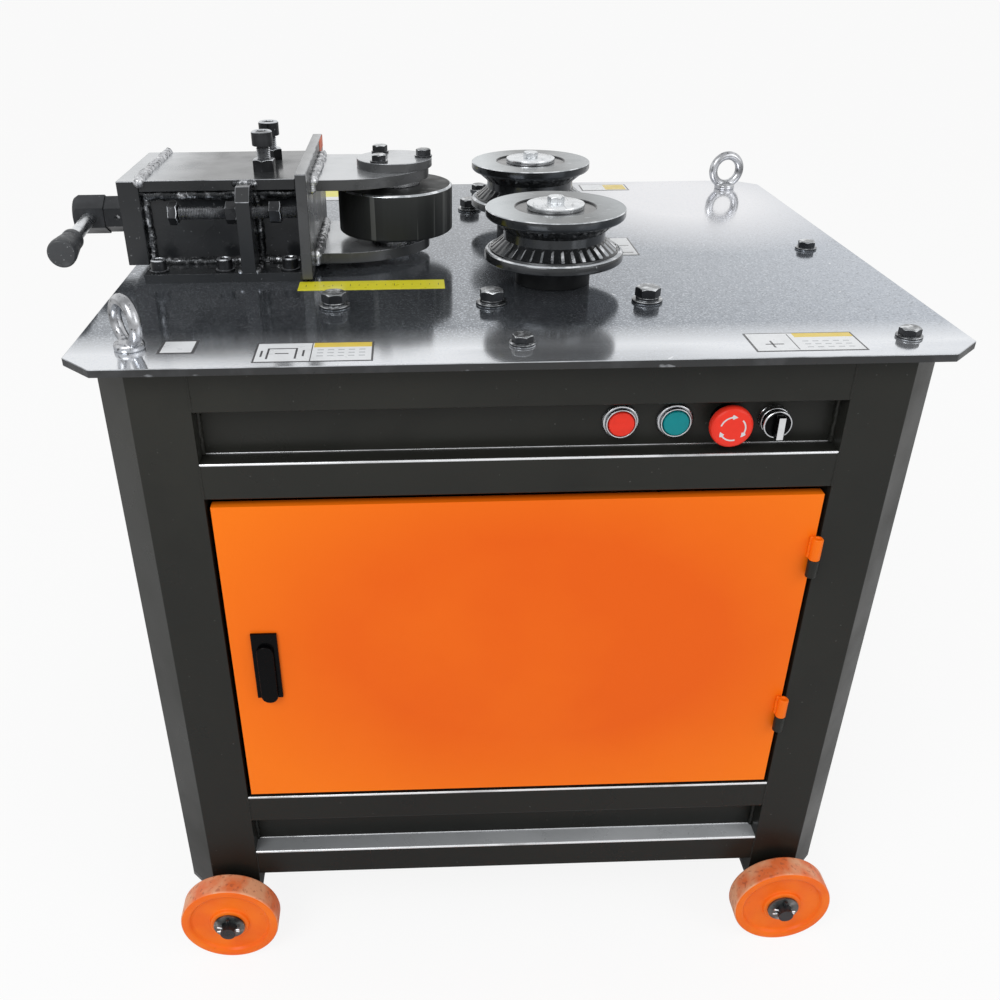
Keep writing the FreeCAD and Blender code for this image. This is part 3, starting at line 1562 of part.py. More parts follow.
def gear(name, teeth, shaft_radius, at, first_tooth):
    """A spur gear: a turned blank and one straight-flanked tooth, repeated round it."""
    pitch_radius = d.gear_module * teeth / 2
    root_radius = pitch_radius - d.gear_dedendum
    tip_radius = pitch_radius + d.gear_addendum
    bore = shaft_radius + d.running_clearance
    blank = [(bore, zero), (root_radius, zero), (root_radius, d.gear_face), (bore, d.gear_face)]
    body = turned(name, blank, at)
    body.Placement = FreeCAD.Placement(vector(), FreeCAD.Rotation(vector(0, 0, 1), first_tooth))
    half_tooth = (d.gear_module * (math.pi / 2) - d.gear_backlash) / 2
    root_half = half_tooth + d.gear_flank_slope * d.gear_dedendum
    tip_half = half_tooth - d.gear_flank_slope * d.gear_addendum
    sunk = root_radius - d.gear_module / 2
    sketch = sketch_on(body, f"{name}_tooth_outline", "XY_Plane")
    outline = [
        (sunk, -root_half),
        (root_radius, -root_half),
        (tip_radius, -tip_half),
        (tip_radius, tip_half),
        (root_radius, root_half),
        (sunk, root_half),
    ]
    draw_outline(sketch, outline)
    tooth = body.newObject("PartDesign::Pad", f"{name}_tooth")
    tooth.Profile = sketch
    tooth.setExpression("Length", formula(d.gear_face))
    pattern = body.newObject("PartDesign::PolarPattern", f"{name}_teeth")
    pattern.Originals = [tooth]
    pattern.Axis = (origin_feature(body, "Z_Axis"), [""])
    pattern.Angle = 360
    pattern.setExpression("Occurrences", formula(teeth))
    body.Tip = pattern
    return body


def drive_gears():
    """The gear on each roller shaft and the pinion between them, in mesh."""
    half_pitch = 180 / number(d.driven_teeth)
    for (x, y), place, first_tooth in zip(roller_places, ("front", "rear"), (90, half_pitch - 90)):
        at = (x, y, gear_bottom)
        wheel = gear(f"gear_wheel_{place}", d.driven_teeth, d.shaft_radius, at, first_tooth)
        node(f"drive_gear_{place}", wheel)
    at = (d.roller_x, zero, gear_bottom)
    pinion = gear("pinion_wheel", d.pinion_teeth, d.pinion_shaft_radius, at, 90)
    low = gearbox_top - d.pinion_shaft_depth
    shaft = rod("pinion_shaft", d.pinion_shaft_radius, gear_top - low, (d.roller_x, zero, low))
    node("drive_pinion", pinion, shaft)


# Drive under the table

def bearings():
    """The plate bolted under the table, the housings below it and the foot collars on the table."""
    half_x = d.bearing_plate_half_width
    half_y = d.bearing_plate_half_depth
    middle = d.large_bolt_middle_x
    outline = [
        (middle - half_x, -half_y),
        (middle + half_x, -half_y),
        (middle + half_x, half_y),
        (middle - half_x, half_y),
    ]
    holes = [(x, y, d.shaft_hole_radius) for x, y in roller_places]
    holes += [(x, y, d.large_bolt_radius + d.bolt_clearance) for x, y in large_bolt_places]
    at = (zero, zero, bearing_plate_bottom)
    thickness = d.bearing_plate_thickness
    node("bearing_plate", plate("bearing_sheet", "XY_Plane", outline, thickness, at, holes))
    bore = d.shaft_radius + d.running_clearance
    flange = d.housing_length - d.housing_flange_thickness
    profile = [
        (bore, zero),
        (d.housing_radius, zero),
        (d.housing_radius, flange),
        (d.housing_flange_radius, flange),
        (d.housing_flange_radius, d.housing_length),
        (bore, d.housing_length),
    ]
    pieces = []
    for index, (x, y) in enumerate(roller_places):
        pieces.append(turned(f"housing_{index}", profile, (x, y, housing_bottom)))
        at = (x, y, zero)
        pieces.append(ring(f"foot_collar_{index}", d.foot_collar_radius, bore, d.foot_collar_height, at))
    node("bearing_housings", *pieces)


def gearbox():
    """The worm gearbox, its mounting plate and the four pillars that hang it from the bearing plate."""
    x = d.roller_x
    half_x = d.gearbox_plate_half_width
    half_y = d.gearbox_plate_half_depth
    plate_bottom = gearbox_top - d.gearbox_plate_thickness
    top = box("gearbox_plate", (x - half_x, -half_y, plate_bottom), (x + half_x, half_y, gearbox_top))
    case = rod("gearbox_case", d.gearbox_radius, d.gearbox_height, (x, zero, plate_bottom - d.gearbox_height))
    worm_left = x - d.worm_half_length
    worm = rod("gearbox_worm", d.worm_radius, d.worm_half_length * 2, (worm_left, d.worm_offset, worm_z), "X")
    bore_depth = d.pinion_shaft_depth + d.gear_gap
    bore_radius = d.pinion_shaft_radius + d.running_clearance
    bore = rod("gearbox_bore", bore_radius, bore_depth, (x, zero, gearbox_top - bore_depth))
    pieces = [cut("gearbox_housing", fused("gearbox_solid", top, case, worm), bore)]
    reach_x = half_x - d.pillar_inset
    reach_y = half_y - d.pillar_inset
    length = bearing_plate_bottom - gearbox_top
    for side in (-1, 1):
        for end in (-1, 1):
            at = (x + side * reach_x, end * reach_y, gearbox_top)
            pieces.append(rod(f"pillar_{len(pieces)}", d.pillar_radius, length, at))
    node("gearbox", *pieces)


def drive_motor():
    """The motor on the worm's left end, with its flange and fan cover."""
    flange = d.motor_flange_thickness
    body_end = flange + d.motor_length
    cover_end = body_end + d.motor_cover_length
    profile = [
        (zero, zero),
        (d.motor_flange_radius, zero),
        (d.motor_flange_radius, flange),
        (d.motor_radius, flange),
        (d.motor_radius, body_end),
        (d.motor_cover_radius, body_end),
        (d.motor_cover_radius, cover_end),
        (zero, cover_end),
    ]
    at = (d.roller_x - d.worm_half_length, d.worm_offset, worm_z)
    node("drive_motor", turned("motor_case", profile, at, "-X"))


def control_box_and_gland():
    """The control box on the rear panel, and the cable gland through the panel below it."""
    left = d.control_box_left
    low_z = -d.control_box_below - d.control_box_height
    node(
        "control_box",
        box(
            "control_case",
            (left, panel_back_y - d.control_box_depth, low_z),
            (left + d.control_box_width, panel_back_y, low_z + d.control_box_height),
        ),
    )
    length = d.gland_inner_length + d.sheet_thickness + d.gland_body_length + d.gland_cap_length
    at = (d.gland_x, panel_back_y - d.gland_inner_length, gland_z)
    stem = rod("gland_stem", d.gland_thread_radius, length - d.gland_cap_length, at, "Y")
    body_at = (d.gland_x, panel_face_y, gland_z)
    body = hexagon("gland_body", d.gland_flats, d.gland_body_length, body_at, "Y")
    cap_at = (d.gland_x, panel_face_y + d.gland_body_length, gland_z)
    cap = rod("gland_cap", d.gland_cap_radius, d.gland_cap_length, cap_at, "Y")
    bore = rod("gland_bore", d.gland_bore_radius, length, at, "Y")
    node("cable_gland", cut("gland", fused("gland_solid", stem, body, cap), bore))


# Table fasteners

def table_bolts():
    """Six large bolts down to the bearing plate, and the smaller bolts along the table's edges."""
    pieces = []
    washers = [
        (d.large_washer_radius, d.large_washer_thickness),
        (d.spring_washer_radius, d.spring_washer_thickness),
    ]
    nut_bottom = bearing_plate_bottom - d.large_nut_height
    for index, (x, y) in enumerate(large_bolt_places):
        bolt = hexagon_bolt(
            f"large_bolt_{index}",
            d.large_bolt_flats,
            d.large_bolt_head,
            d.large_bolt_radius,
            -nut_bottom + d.sliding_gap,
            (x, y, zero),
            washers,
        )
        holder = hexagon(f"large_nut_{index}", d.large_bolt_flats, d.large_nut_height, (x, y, nut_bottom))
        pieces.append(fused(f"large_bolt_and_nut_{index}", bolt, holder))
    washers = [(d.small_washer_radius, d.small_washer_thickness)]
    for index, (x, y) in enumerate(small_bolt_places):
        pieces.append(
            hexagon_bolt(
                f"small_bolt_{index}",
                d.small_bolt_flats,
                d.small_bolt_head,
                d.small_bolt_radius,
                d.small_bolt_length,
                (x, y, zero),
                washers,
            )
        )
    node("table_bolts", *pieces)


def lifting_eyes():
    """Two ring eyes, each on a collar with a shank through the table."""
    pieces = []
    ring_z = d.eye_ring_radius + d.eye_collar_height - d.eye_ring_sink
    for index, ((x, y), turn) in enumerate(zip(eye_places, (d.front_eye_turn, d.rear_eye_turn))):
        wide = d.eye_wire_radius
        narrow = d.eye_wire_radius * corner_share
        section = [(wide, narrow), (narrow, wide), (-narrow, wide), (-wide, narrow)]
        section += [(-across, -along) for across, along in section]
        profile = [(d.eye_ring_radius + across, along) for across, along in section]
        eye = turned(f"eye_ring_{index}", profile, (zero, zero, zero))
        upright = FreeCAD.Rotation(vector(0, 0, 1), number(turn)) * FreeCAD.Rotation(vector(1, 0, 0), 90)
        stood(eye, (x, y, ring_z), upright)
        collar_height = d.eye_collar_height - d.eye_collar_step
        collar = rod(f"eye_collar_{index}", d.eye_collar_radius, collar_height, (x, y, zero))
        neck = rod(f"eye_neck_{index}", d.eye_neck_radius, d.eye_collar_height, (x, y, zero))
        length = d.table_thickness + d.gusset_thickness + d.eye_shank_proud
        shank = rod(f"eye_shank_{index}", d.small_bolt_radius, length, (x, y, -length))
        pieces.append(fused(f"eye_{index}", eye, collar, neck, shank))
    node("lifting_eyes", *pieces)


# The machine

table_top()
corner_posts()
frame_rails()
panels()
wheel_axles()
wheel_washers()
wheels()
frame_hinge_knuckles()
door()
latch_handle()
control_bezels()
switch_blocks()
push_button("start_button", d.start_button_x)
push_button("stop_button", d.stop_button_x)
emergency_button()
selector_knob()
press_box()
press_screws()
stop_bolts()
lead_screw()
crank_hub()
crank_handle()
ram()
fork()
press_roller()
drive_rollers()
roller_shafts()
drive_gears()
bearings()
gearbox()
drive_motor()
control_box_and_gland()
table_bolts()
lifting_eyes()

document.recompute()
for piece in document.Objects:
    failed = "Invalid" in piece.State or "Error" in piece.State
    if failed:
        raise RuntimeError(f"{piece.Name} could not be built: {piece.State}")
for group in nodes:
    if group.Shape.isNull() or not group.Shape.isValid() or not group.Shape.Solids:
        raise RuntimeError(f"{group.Label} has no sound shape")

os.makedirs("parts", exist_ok=True)
for group in nodes:
    group.Shape.exportStep(f"parts/{group.Label}.step")
print(len(nodes), "sub-parts")
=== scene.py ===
import math

import bmesh
import bpy
from mathutils import Matrix, Vector


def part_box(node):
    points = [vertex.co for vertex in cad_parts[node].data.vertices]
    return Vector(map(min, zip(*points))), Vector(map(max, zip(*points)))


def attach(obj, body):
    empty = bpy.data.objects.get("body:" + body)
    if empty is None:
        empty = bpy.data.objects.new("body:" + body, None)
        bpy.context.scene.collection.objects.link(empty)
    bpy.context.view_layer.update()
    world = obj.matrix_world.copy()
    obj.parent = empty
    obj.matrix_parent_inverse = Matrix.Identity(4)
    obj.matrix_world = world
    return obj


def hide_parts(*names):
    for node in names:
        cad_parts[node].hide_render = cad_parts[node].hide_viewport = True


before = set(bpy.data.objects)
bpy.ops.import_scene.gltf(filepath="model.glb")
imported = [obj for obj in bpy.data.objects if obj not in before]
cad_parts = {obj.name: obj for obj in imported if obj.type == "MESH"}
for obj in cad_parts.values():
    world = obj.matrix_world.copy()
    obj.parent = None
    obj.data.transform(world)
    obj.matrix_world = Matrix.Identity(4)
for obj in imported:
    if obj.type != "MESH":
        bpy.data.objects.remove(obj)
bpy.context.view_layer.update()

# Corner posts. Each is a 4 mm sheet folded round the cabinet's corner, with a gusset inside and a
# painted skin of dark olive satin. Lengths on the machine are millimetres from the middle of the
# table's top face: x to the right, y to the back, z up.
MM = 0.001
TABLE_MIDDLE = Vector((36.15, 0, 820))


def place(x, y, z):
    return (TABLE_MIDDLE + Vector((x, y, z))) * MM


def let_go():
    if bpy.context.object is not None and bpy.context.object.mode != "OBJECT":
        bpy.ops.object.mode_set(mode="OBJECT")
    bpy.ops.object.select_all(action="DESELECT")


def pick(*pieces):
    let_go()
    for piece in pieces:
        piece.select_set(True)
    bpy.context.view_layer.objects.active = pieces[0]


def finish(name, colour, metallic=0.0, roughness=0.5, coat=0.0, shine=0.5):
    """Start a finish with the values that are the same all over it."""
    material = bpy.data.materials.new(name)
    material.use_nodes = True
    shader = material.node_tree.nodes["Principled BSDF"]
    shader.inputs["Base Color"].default_value = (*colour, 1)
    shader.inputs["Metallic"].default_value = metallic
    shader.inputs["Roughness"].default_value = roughness
    shader.inputs["Specular IOR Level"].default_value = shine
    shader.inputs["Coat Weight"].default_value = coat
    shader.inputs["Coat Roughness"].default_value = 0.12
    return material


def grain(material, scale, detail=3.0, stretch=(1, 1, 1)):
    """A cloudy pattern fixed to the piece."""
    nodes = material.node_tree.nodes
    links = material.node_tree.links
    where = nodes.new("ShaderNodeTexCoord")
    mapping = nodes.new("ShaderNodeMapping")
    mapping.inputs["Scale"].default_value = stretch
    noise = nodes.new("ShaderNodeTexNoise")
    noise.inputs["Scale"].default_value = scale
    noise.inputs["Detail"].default_value = detail
    links.new(where.outputs["Object"], mapping.inputs["Vector"])
    links.new(mapping.outputs["Vector"], noise.inputs["Vector"])
    return noise.outputs["Fac"]


def levels(material, pattern, low, high, start=0.0, end=1.0):
    """Read a pattern from one level to another as a new range of values."""
    reader = material.node_tree.nodes.new("ShaderNodeMapRange")
    reader.inputs["From Min"].default_value = low
    reader.inputs["From Max"].default_value = high
    reader.inputs["To Min"].default_value = start
    reader.inputs["To Max"].default_value = end
    material.node_tree.links.new(pattern, reader.inputs["Value"])
    return reader.outputs["Result"]


def growing(material, axis, start, end):
    """A pattern that grows from one place on the machine to another, in millimetres."""
    nodes = material.node_tree.nodes
    where = nodes.new("ShaderNodeTexCoord")
    split = nodes.new("ShaderNodeSeparateXYZ")
    material.node_tree.links.new(where.outputs["Object"], split.inputs[0])
    index = "XYZ".index(axis)
    return levels(
        material, split.outputs[index], place(start, start, start)[index], place(end, end, end)[index],
    )


def tinted(material, pattern, colour):
    """Lay another colour over the finish where a pattern is strong."""
    tree = material.node_tree
    base = tree.nodes["Principled BSDF"].inputs["Base Color"]
    mix = tree.nodes.new("ShaderNodeMix")
    mix.data_type = "RGBA"
    if base.is_linked:
        tree.links.new(base.links[0].from_socket, mix.inputs[6])
    else:
        mix.inputs[6].default_value = base.default_value
    mix.inputs[7].default_value = (*colour, 1)
    tree.links.new(pattern, mix.inputs[0])
    tree.links.new(mix.outputs[2], base)


def mottled(material, colour, low, high, amount, *cloud):
    """Lay another colour over the finish where a cloudy pattern rises from one level to another."""
    tinted(material, levels(material, grain(material, *cloud), low, high, 0, amount), colour)


def sheen(material, glossy, dull, *cloud, high=0.7):
    """Let a cloudy pattern vary the finish between two roughnesses."""
    shader = material.node_tree.nodes["Principled BSDF"]
    pattern = levels(material, grain(material, *cloud), 0.3, high, glossy, dull)
    material.node_tree.links.new(pattern, shader.inputs["Roughness"])


def raised(material, pattern, depth, strength=1.0):
    """Emboss the finish with a pattern, so many metres deep."""
    tree = material.node_tree
    normal = tree.nodes["Principled BSDF"].inputs["Normal"]
    emboss = tree.nodes.new("ShaderNodeBump")
    emboss.inputs["Distance"].default_value = depth
    emboss.inputs["Strength"].default_value = strength
    if normal.is_linked:
        tree.links.new(normal.links[0].from_socket, emboss.inputs["Normal"])
    tree.links.new(pattern, emboss.inputs["Height"])
    tree.links.new(emboss.outputs["Normal"], normal)


def pebbled(material, depth, strength, *cloud):
    """Emboss the finish with a cloudy pattern."""
    raised(material, grain(material, *cloud), depth, strength)


cabinet_paint = finish("cabinet_paint", (0.016, 0.0165, 0.0145), roughness=0.36, shine=0.2)
mottled(cabinet_paint, (0.03, 0.03, 0.025), 0.35, 0.7, 0.8, 2.2)
# Painted shade: the cabinet's paint darkens towards the bottom of the frame.
tinted(cabinet_paint, growing(cabinet_paint, "Z", -110, -900), (0.003, 0.0035, 0.003))
mottled(cabinet_paint, (0.009, 0.0095, 0.009), 0.5, 0.8, 0.35, 17, 6)
mottled(cabinet_paint, (0.1, 0.1, 0.095), 0.79, 0.81, 0.5, 260, 1)
sheen(cabinet_paint, 0.24, 0.44, 9, 5)
pebbled(cabinet_paint, 0.00012, 0.5, 420, 2)


def modified(piece, kind, **settings):
    """Run a modifier on the active piece and keep what it makes."""
    modifier = piece.modifiers.new(kind, kind)
    for setting, value in settings.items():
        setattr(modifier, setting, value)
    bpy.ops.object.modifier_apply(modifier=modifier.name)


def eased(piece, radius, segments=2):
    """Round every edge of a piece by a small radius and shade it."""
    sharp = math.radians(32)
    pick(piece)
    modified(
        piece, "BEVEL", width=radius * MM, segments=segments, limit_method="ANGLE", angle_limit=sharp,
        miter_outer="MITER_ARC",
    )
    bpy.ops.object.shade_smooth_by_angle(angle=math.radians(38))
    modified(piece, "WEIGHTED_NORMAL", keep_sharp=True, weight=90)


def from_cad(node, name, radius, segments=2, shape=None):
    """Take a node's shape, make its flat faces whole again and round its edges."""
    piece = bpy.data.objects.new(name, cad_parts[node].data.copy())
    bpy.context.scene.collection.objects.link(piece)
    pick(piece)
    bpy.ops.object.mode_set(mode="EDIT")
    bpy.ops.mesh.select_all(action="SELECT")
    bpy.ops.mesh.remove_doubles(threshold=0.00001)
    bpy.ops.mesh.customdata_custom_splitnormals_clear()
    bpy.ops.mesh.dissolve_limited(angle_limit=math.radians(1))
    if shape is not None:
        shape(piece)
    bpy.ops.object.mode_set(mode="OBJECT")
    eased(piece, radius, segments)
    return piece


def dressed(piece, material, body, slot, *nodes):
    """Give a finished piece its material, its body and the nodes that it stands for."""
    if material is not None:
        piece.data.materials.clear()
        piece.data.materials.append(material)
    piece.data.name = piece.name
    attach(piece, body)
    if nodes:
        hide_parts(*nodes)
    return piece


dressed(
    from_cad("corner_posts", "folded_posts", 1.6), cabinet_paint, "frame", "cabinet_paint", "corner_posts",
)

# Rails. Square tube, 3 mm thick with rounded corners, cut between the posts at four levels in
# front and two at the sides and back, welded in and painted with the posts.
def choose(piece, kind, test):
    """In edit mode, select the corners, edges or faces whose middle passes a test."""
    bpy.ops.mesh.select_mode(type=kind)
    bpy.ops.mesh.select_all(action="DESELECT")
    shape = bmesh.from_edit_mesh(piece.data)
    for item in {"VERT": shape.verts, "EDGE": shape.edges, "FACE": shape.faces}[kind]:
        if kind == "VERT":
            middle = item.co
        else:
            middle = sum((corner.co for corner in item.verts), Vector()) / len(item.verts)
        if test(item, middle):
            item.select_set(True)
    bmesh.update_edit_mesh(piece.data)


def round_long_edges(tube):
    """Round a tube's long edges, as they come off the mill."""
    choose(tube, "EDGE", lambda edge, middle: edge.calc_length() > 0.3)
    bpy.ops.mesh.bevel(offset=2.4 * MM, offset_type="OFFSET", segments=3, affect="EDGES", clamp_overlap=False)


rails = from_cad("frame_rails", "square_tube_rails", 0.3, 1, round_long_edges)
dressed(rails, cabinet_paint, "frame", "cabinet_paint", "frame_rails")


def finish_faces(piece, material, test):
    """Give the faces that pass a test another finish."""
    if material.name not in piece.data.materials:
        piece.data.materials.append(material)
    slot_number = piece.data.materials.find(material.name)
    for face in piece.data.polygons:
        if test(face):
            face.material_index = slot_number


def narrow(piece, face, width):
    """Tell a strip that rounds an edge from the flat faces beside it."""
    corners = [piece.data.vertices[index].co for index in face.vertices]
    longest = max((start - end).length for start, end in zip(corners, corners[1:] + corners[:1]))
    return face.area < longest * width * MM


# Painted highlight: a bright metal finish on the rails' rounded edges that face upwards, and on thin strips where
# the panels meet the rails, stands for the light along them.
edge_highlight_paint = finish("edge_highlight_paint", (0.74, 0.75, 0.77), metallic=0.75, roughness=0.22)
mottled(edge_highlight_paint, (0.12, 0.122, 0.125), 0.54, 0.7, 0.65, 9, 5)
sheen(edge_highlight_paint, 0.18, 0.4, 60, 4)
pebbled(edge_highlight_paint, 0.00008, 0.4, 300, 2)
finish_faces(rails, edge_highlight_paint, lambda face: 0.1 < face.normal.z < 0.8)

# The bottom rail's top faces are painted pale as dust, and lighter towards the right as a painted reflection.
dust_and_sheen_paint = finish("dust_and_sheen_paint", (0.26, 0.27, 0.28), metallic=0.3, roughness=0.3)
tinted(dust_and_sheen_paint, growing(dust_and_sheen_paint, "X", -330, 150), (0.58, 0.6, 0.62))
mottled(dust_and_sheen_paint, (0.36, 0.375, 0.39), 0.45, 0.7, 0.6, 12, 6)
sheen(dust_and_sheen_paint, 0.22, 0.45, 40, 4)
pebbled(dust_and_sheen_paint, 0.0001, 0.4, 260, 3)
bottom_rail = place(0, 0, -650).z
finish_faces(rails, dust_and_sheen_paint, lambda face: face.normal.z > 0.95 and face.center.z < bottom_rail)


def joined(name, pieces):
    """Make one piece of several."""
    pick(*pieces)
    if len(pieces) > 1:
        bpy.ops.object.join()
    whole = bpy.context.object
    whole.name = name
    return whole


def block(name, middle, size, radius, segments=1):
    """A block with eased edges. Its middle and its size are in metres, its edges' radius in millimetres."""
    let_go()
    bpy.ops.mesh.primitive_cube_add(size=1, location=middle, scale=size)
    piece = bpy.context.object
    piece.name = name
    bpy.ops.object.transform_apply(location=True, rotation=True, scale=True)
    eased(piece, radius, segments)
    return piece


# Two thin strips along the rails' tops, where the panels meet them, painted bright as highlights.
highlight_strips = [block("highlight_strip", place(0, -340.5, height), (0.64, 0.0011, 0.0011), 0.3) for height in (-109.6, -665.3)]
dressed(joined("panel_highlight_strips", highlight_strips), edge_highlight_paint, "frame", "cabinet_paint")

# Panels. Recessed 2 mm sheets behind the rails: the button panel, the lower front panel, the
# sides, the back and the floor pan, all in the cabinet's paint.
for node in ("button_panel", "lower_panel", "rear_panel", "side_panels", "floor_pan"):
    dressed(from_cad(node, f"{node}_sheet", 0.4), cabinet_paint, "frame", "cabinet_paint", node)


# Frame welds. Hand-laid beads where the rails and the panels meet the posts, painted over. A bead
# is a row of overlapping drops, roughened, and each run is joined to the others.
def weld(name, start, end, radius, pitch=0.45):
    """A bead of overlapping drops from one place to another, in millimetres."""
    run = Vector(end) - Vector(start)
    count = max(2, round(run.length / (radius * pitch)))
    let_go()
    bpy.ops.mesh.primitive_uv_sphere_add(segments=8, ring_count=6, radius=radius * MM, location=place(*start))
    bead = bpy.context.object
    bead.name = name
    step = run * MM / (count - 1)
    modified(
        bead, "ARRAY", count=count, use_relative_offset=False, use_constant_offset=True,
        constant_offset_displace=step,
    )
    bpy.ops.object.transform_apply(location=True, rotation=False, scale=False)
    pattern = bpy.data.textures.new(f"{name}_ripple", "CLOUDS")
    pattern.noise_scale = radius * 1.4 * MM
    modified(bead, "DISPLACE", texture=pattern, texture_coords="GLOBAL", strength=radius * 0.9 * MM)
    bpy.ops.object.shade_smooth()
    return bead


post_edge = 322.4
front = -364.0
frame_beads = []
for side in (-1, 1):
    x = side * (post_edge - 0.5)
    frame_beads.append(weld("recess_bead", (x, front + 22, -57), (x, front + 22, -108), 3.2))
    frame_beads.append(weld("foot_bead", (x, front + 22, -613), (x, front + 22, -663), 3.0))
    for top, bottom in ((-12, -52), (-113, -149), (-573, -608), (-669, -704)):
        across, ahead = side * post_edge, front + 0.6
        frame_beads.append(weld("rail_bead", (across, ahead, top), (across, ahead, bottom), 1.5))
    for y in (-268.4, 268.4):
        for top, bottom in ((-12, -52), (-669, -704)):
            frame_beads.append(weld("side_bead", (side * 417.4, y, top), (side * 417.4, y, bottom), 1.5))
dressed(joined("frame_welds", frame_beads), cabinet_paint, "frame", "cabinet_paint")

# Table. An 8 mm plate, 880 by 770, with its corners cut by 33 mm and its sharp edges broken. It is
# dark blue-grey under a clear gloss coat full of fine metal flake, with a few scratches and dust,
# and with painted reflections: lighter to the right, a streaky light band along the front and a
# glare at the back right. Its sides are painted dark as shade.
def computed(material, kind, operation, *inputs):
    """Work something out of patterns and fixed values."""
    node = material.node_tree.nodes.new(kind)
    node.operation = operation
    for socket, value in zip(node.inputs, inputs):
        if isinstance(value, bpy.types.NodeSocket):
            material.node_tree.links.new(value, socket)
        else:
            socket.default_value = value
    return node.outputs


def around(material, centre, reach, stretch=(1, 1, 1)):
    """A pattern that is strong at a place on the machine and fades out from it."""
    where = material.node_tree.nodes.new("ShaderNodeTexCoord").outputs["Object"]
    offset = computed(material, "ShaderNodeVectorMath", "SUBTRACT", where, place(*centre))[0]
    scaled = computed(material, "ShaderNodeVectorMath", "MULTIPLY", offset, stretch)[0]
    distance = computed(material, "ShaderNodeVectorMath", "LENGTH", scaled)["Value"]
    return levels(material, distance, reach * MM, 0)


table_paint = finish("table_paint", (0.18, 0.2, 0.225), metallic=0.85, roughness=0.12)
mottled(table_paint, (0.26, 0.285, 0.32), 0.35, 0.7, 0.6, 3.1, 3)
# Painted reflection: the plate grows lighter towards the right.
tinted(table_paint, growing(table_paint, "X", 60, 420), (0.38, 0.42, 0.48))
mottled(table_paint, (0.09, 0.1, 0.115), 0.54, 0.68, 0.5, 430, 1)
# Painted reflection: a streaky light band along the front of the plate.
reflection_streaks = levels(table_paint, grain(table_paint, 5, 5, (0.35, 1.6, 1)), 0.32, 0.55, 0.3, 0.85)
front_reflection_band = computed(table_paint, "ShaderNodeMath", "MULTIPLY", growing(table_paint, "Y", -285, -345), reflection_streaks)[0]
tinted(table_paint, front_reflection_band, (0.88, 0.9, 0.93))
# Painted glare at the back right of the plate.
glare = levels(table_paint, around(table_paint, (300, 265, 0), 270, (1, 0.85, 1)), 0.05, 0.65, 0, 0.75)
tinted(table_paint, glare, (0.95, 0.94, 0.96))
mottled(table_paint, (0.66, 0.7, 0.76), 0.52, 0.68, 0.55, 520, 1)
mottled(table_paint, (0.9, 0.92, 0.95), 0.74, 0.77, 0.7, 120, 2)
mottled(table_paint, (0.8, 0.82, 0.85), 0.74, 0.78, 0.5, 14, 8, (1, 9, 1))
sheen(table_paint, 0.07, 0.17, 6, 5)
pebbled(table_paint, 0.00002, 0.35, 620, 1)

# Painted shade: the plate's sides are made dark, with pale scratches along them.
shaded_table_edge = finish("shaded_table_edge", (0.022, 0.023, 0.024), roughness=0.36, shine=0.4)
mottled(shaded_table_edge, (0.06, 0.062, 0.066), 0.55, 0.75, 0.6, 30, 6)
mottled(shaded_table_edge, (0.3, 0.31, 0.33), 0.68, 0.74, 0.6, 120, 4, (0.3, 1, 1))
sheen(shaded_table_edge, 0.26, 0.5, 60, 5)
pebbled(shaded_table_edge, 0.0002, 0.5, 260, 3)

# The plate's rounded top edge is painted bright: partly bare worn steel, partly a painted highlight.
bare_edge_and_highlight = finish("bare_edge_and_highlight", (0.55, 0.57, 0.6), metallic=0.9, roughness=0.3)
mottled(bare_edge_and_highlight, (0.12, 0.125, 0.13), 0.5, 0.66, 0.8, 16, 6)
sheen(bare_edge_and_highlight, 0.2, 0.45, 120, 4)
pebbled(bare_edge_and_highlight, 0.0002, 0.5, 300, 3)

let_go()
bpy.ops.mesh.primitive_cube_add(size=1, location=place(0, 0, -4), scale=(0.88, 0.77, 0.008))
table_plate = bpy.context.object
table_plate.name = "table_plate"
bpy.ops.object.transform_apply(location=True, rotation=False, scale=True)
bpy.ops.object.mode_set(mode="EDIT")
choose(table_plate, "EDGE", lambda edge, middle: abs(edge.verts[0].co.z - edge.verts[1].co.z) > 0.0005)
bpy.ops.mesh.bevel(offset=33 * MM, offset_type="OFFSET", segments=1, affect="EDGES")
bpy.ops.object.mode_set(mode="OBJECT")
eased(table_plate, 0.7)

dressed(table_plate, table_paint, "frame", "table_paint", "table_top")
finish_faces(table_plate, shaded_table_edge, lambda face: face.normal.z < 0.3)
finish_faces(table_plate, bare_edge_and_highlight, lambda face: 0.3 < face.normal.z < 0.98)

# Press box. Thick plates welded into a box that guides the ram, painted near-black over the welds
# and the weld spatter. Its two lugs are tapered bars that hold the stop bolts.
press_paint = finish("press_paint", (0.011, 0.0125, 0.014), roughness=0.24, coat=0.12, shine=0.4)
mottled(press_paint, (0.025, 0.027, 0.03), 0.35, 0.7, 0.6, 8, 4)
mottled(press_paint, (0.22, 0.23, 0.24), 0.72, 0.76, 0.6, 200, 2)
sheen(press_paint, 0.14, 0.34, 22, 6, high=0.72)
pebbled(press_paint, 0.00012, 0.4, 300, 3)
raised(press_paint, levels(press_paint, grain(press_paint, 120, 2), 0.68, 0.76), 0.0004, 0.5)

# Painted highlight: a lighter metal finish for the upward rounded edges of the press plates and the keeper.
press_edge_highlight = finish("press_edge_highlight", (0.32, 0.33, 0.35), metallic=0.8, roughness=0.25)
mottled(press_edge_highlight, (0.05, 0.053, 0.057), 0.48, 0.62, 0.9, 24, 6)
sheen(press_edge_highlight, 0.16, 0.4, 80, 4)
pebbled(press_edge_highlight, 0.00012, 0.5, 320, 3)

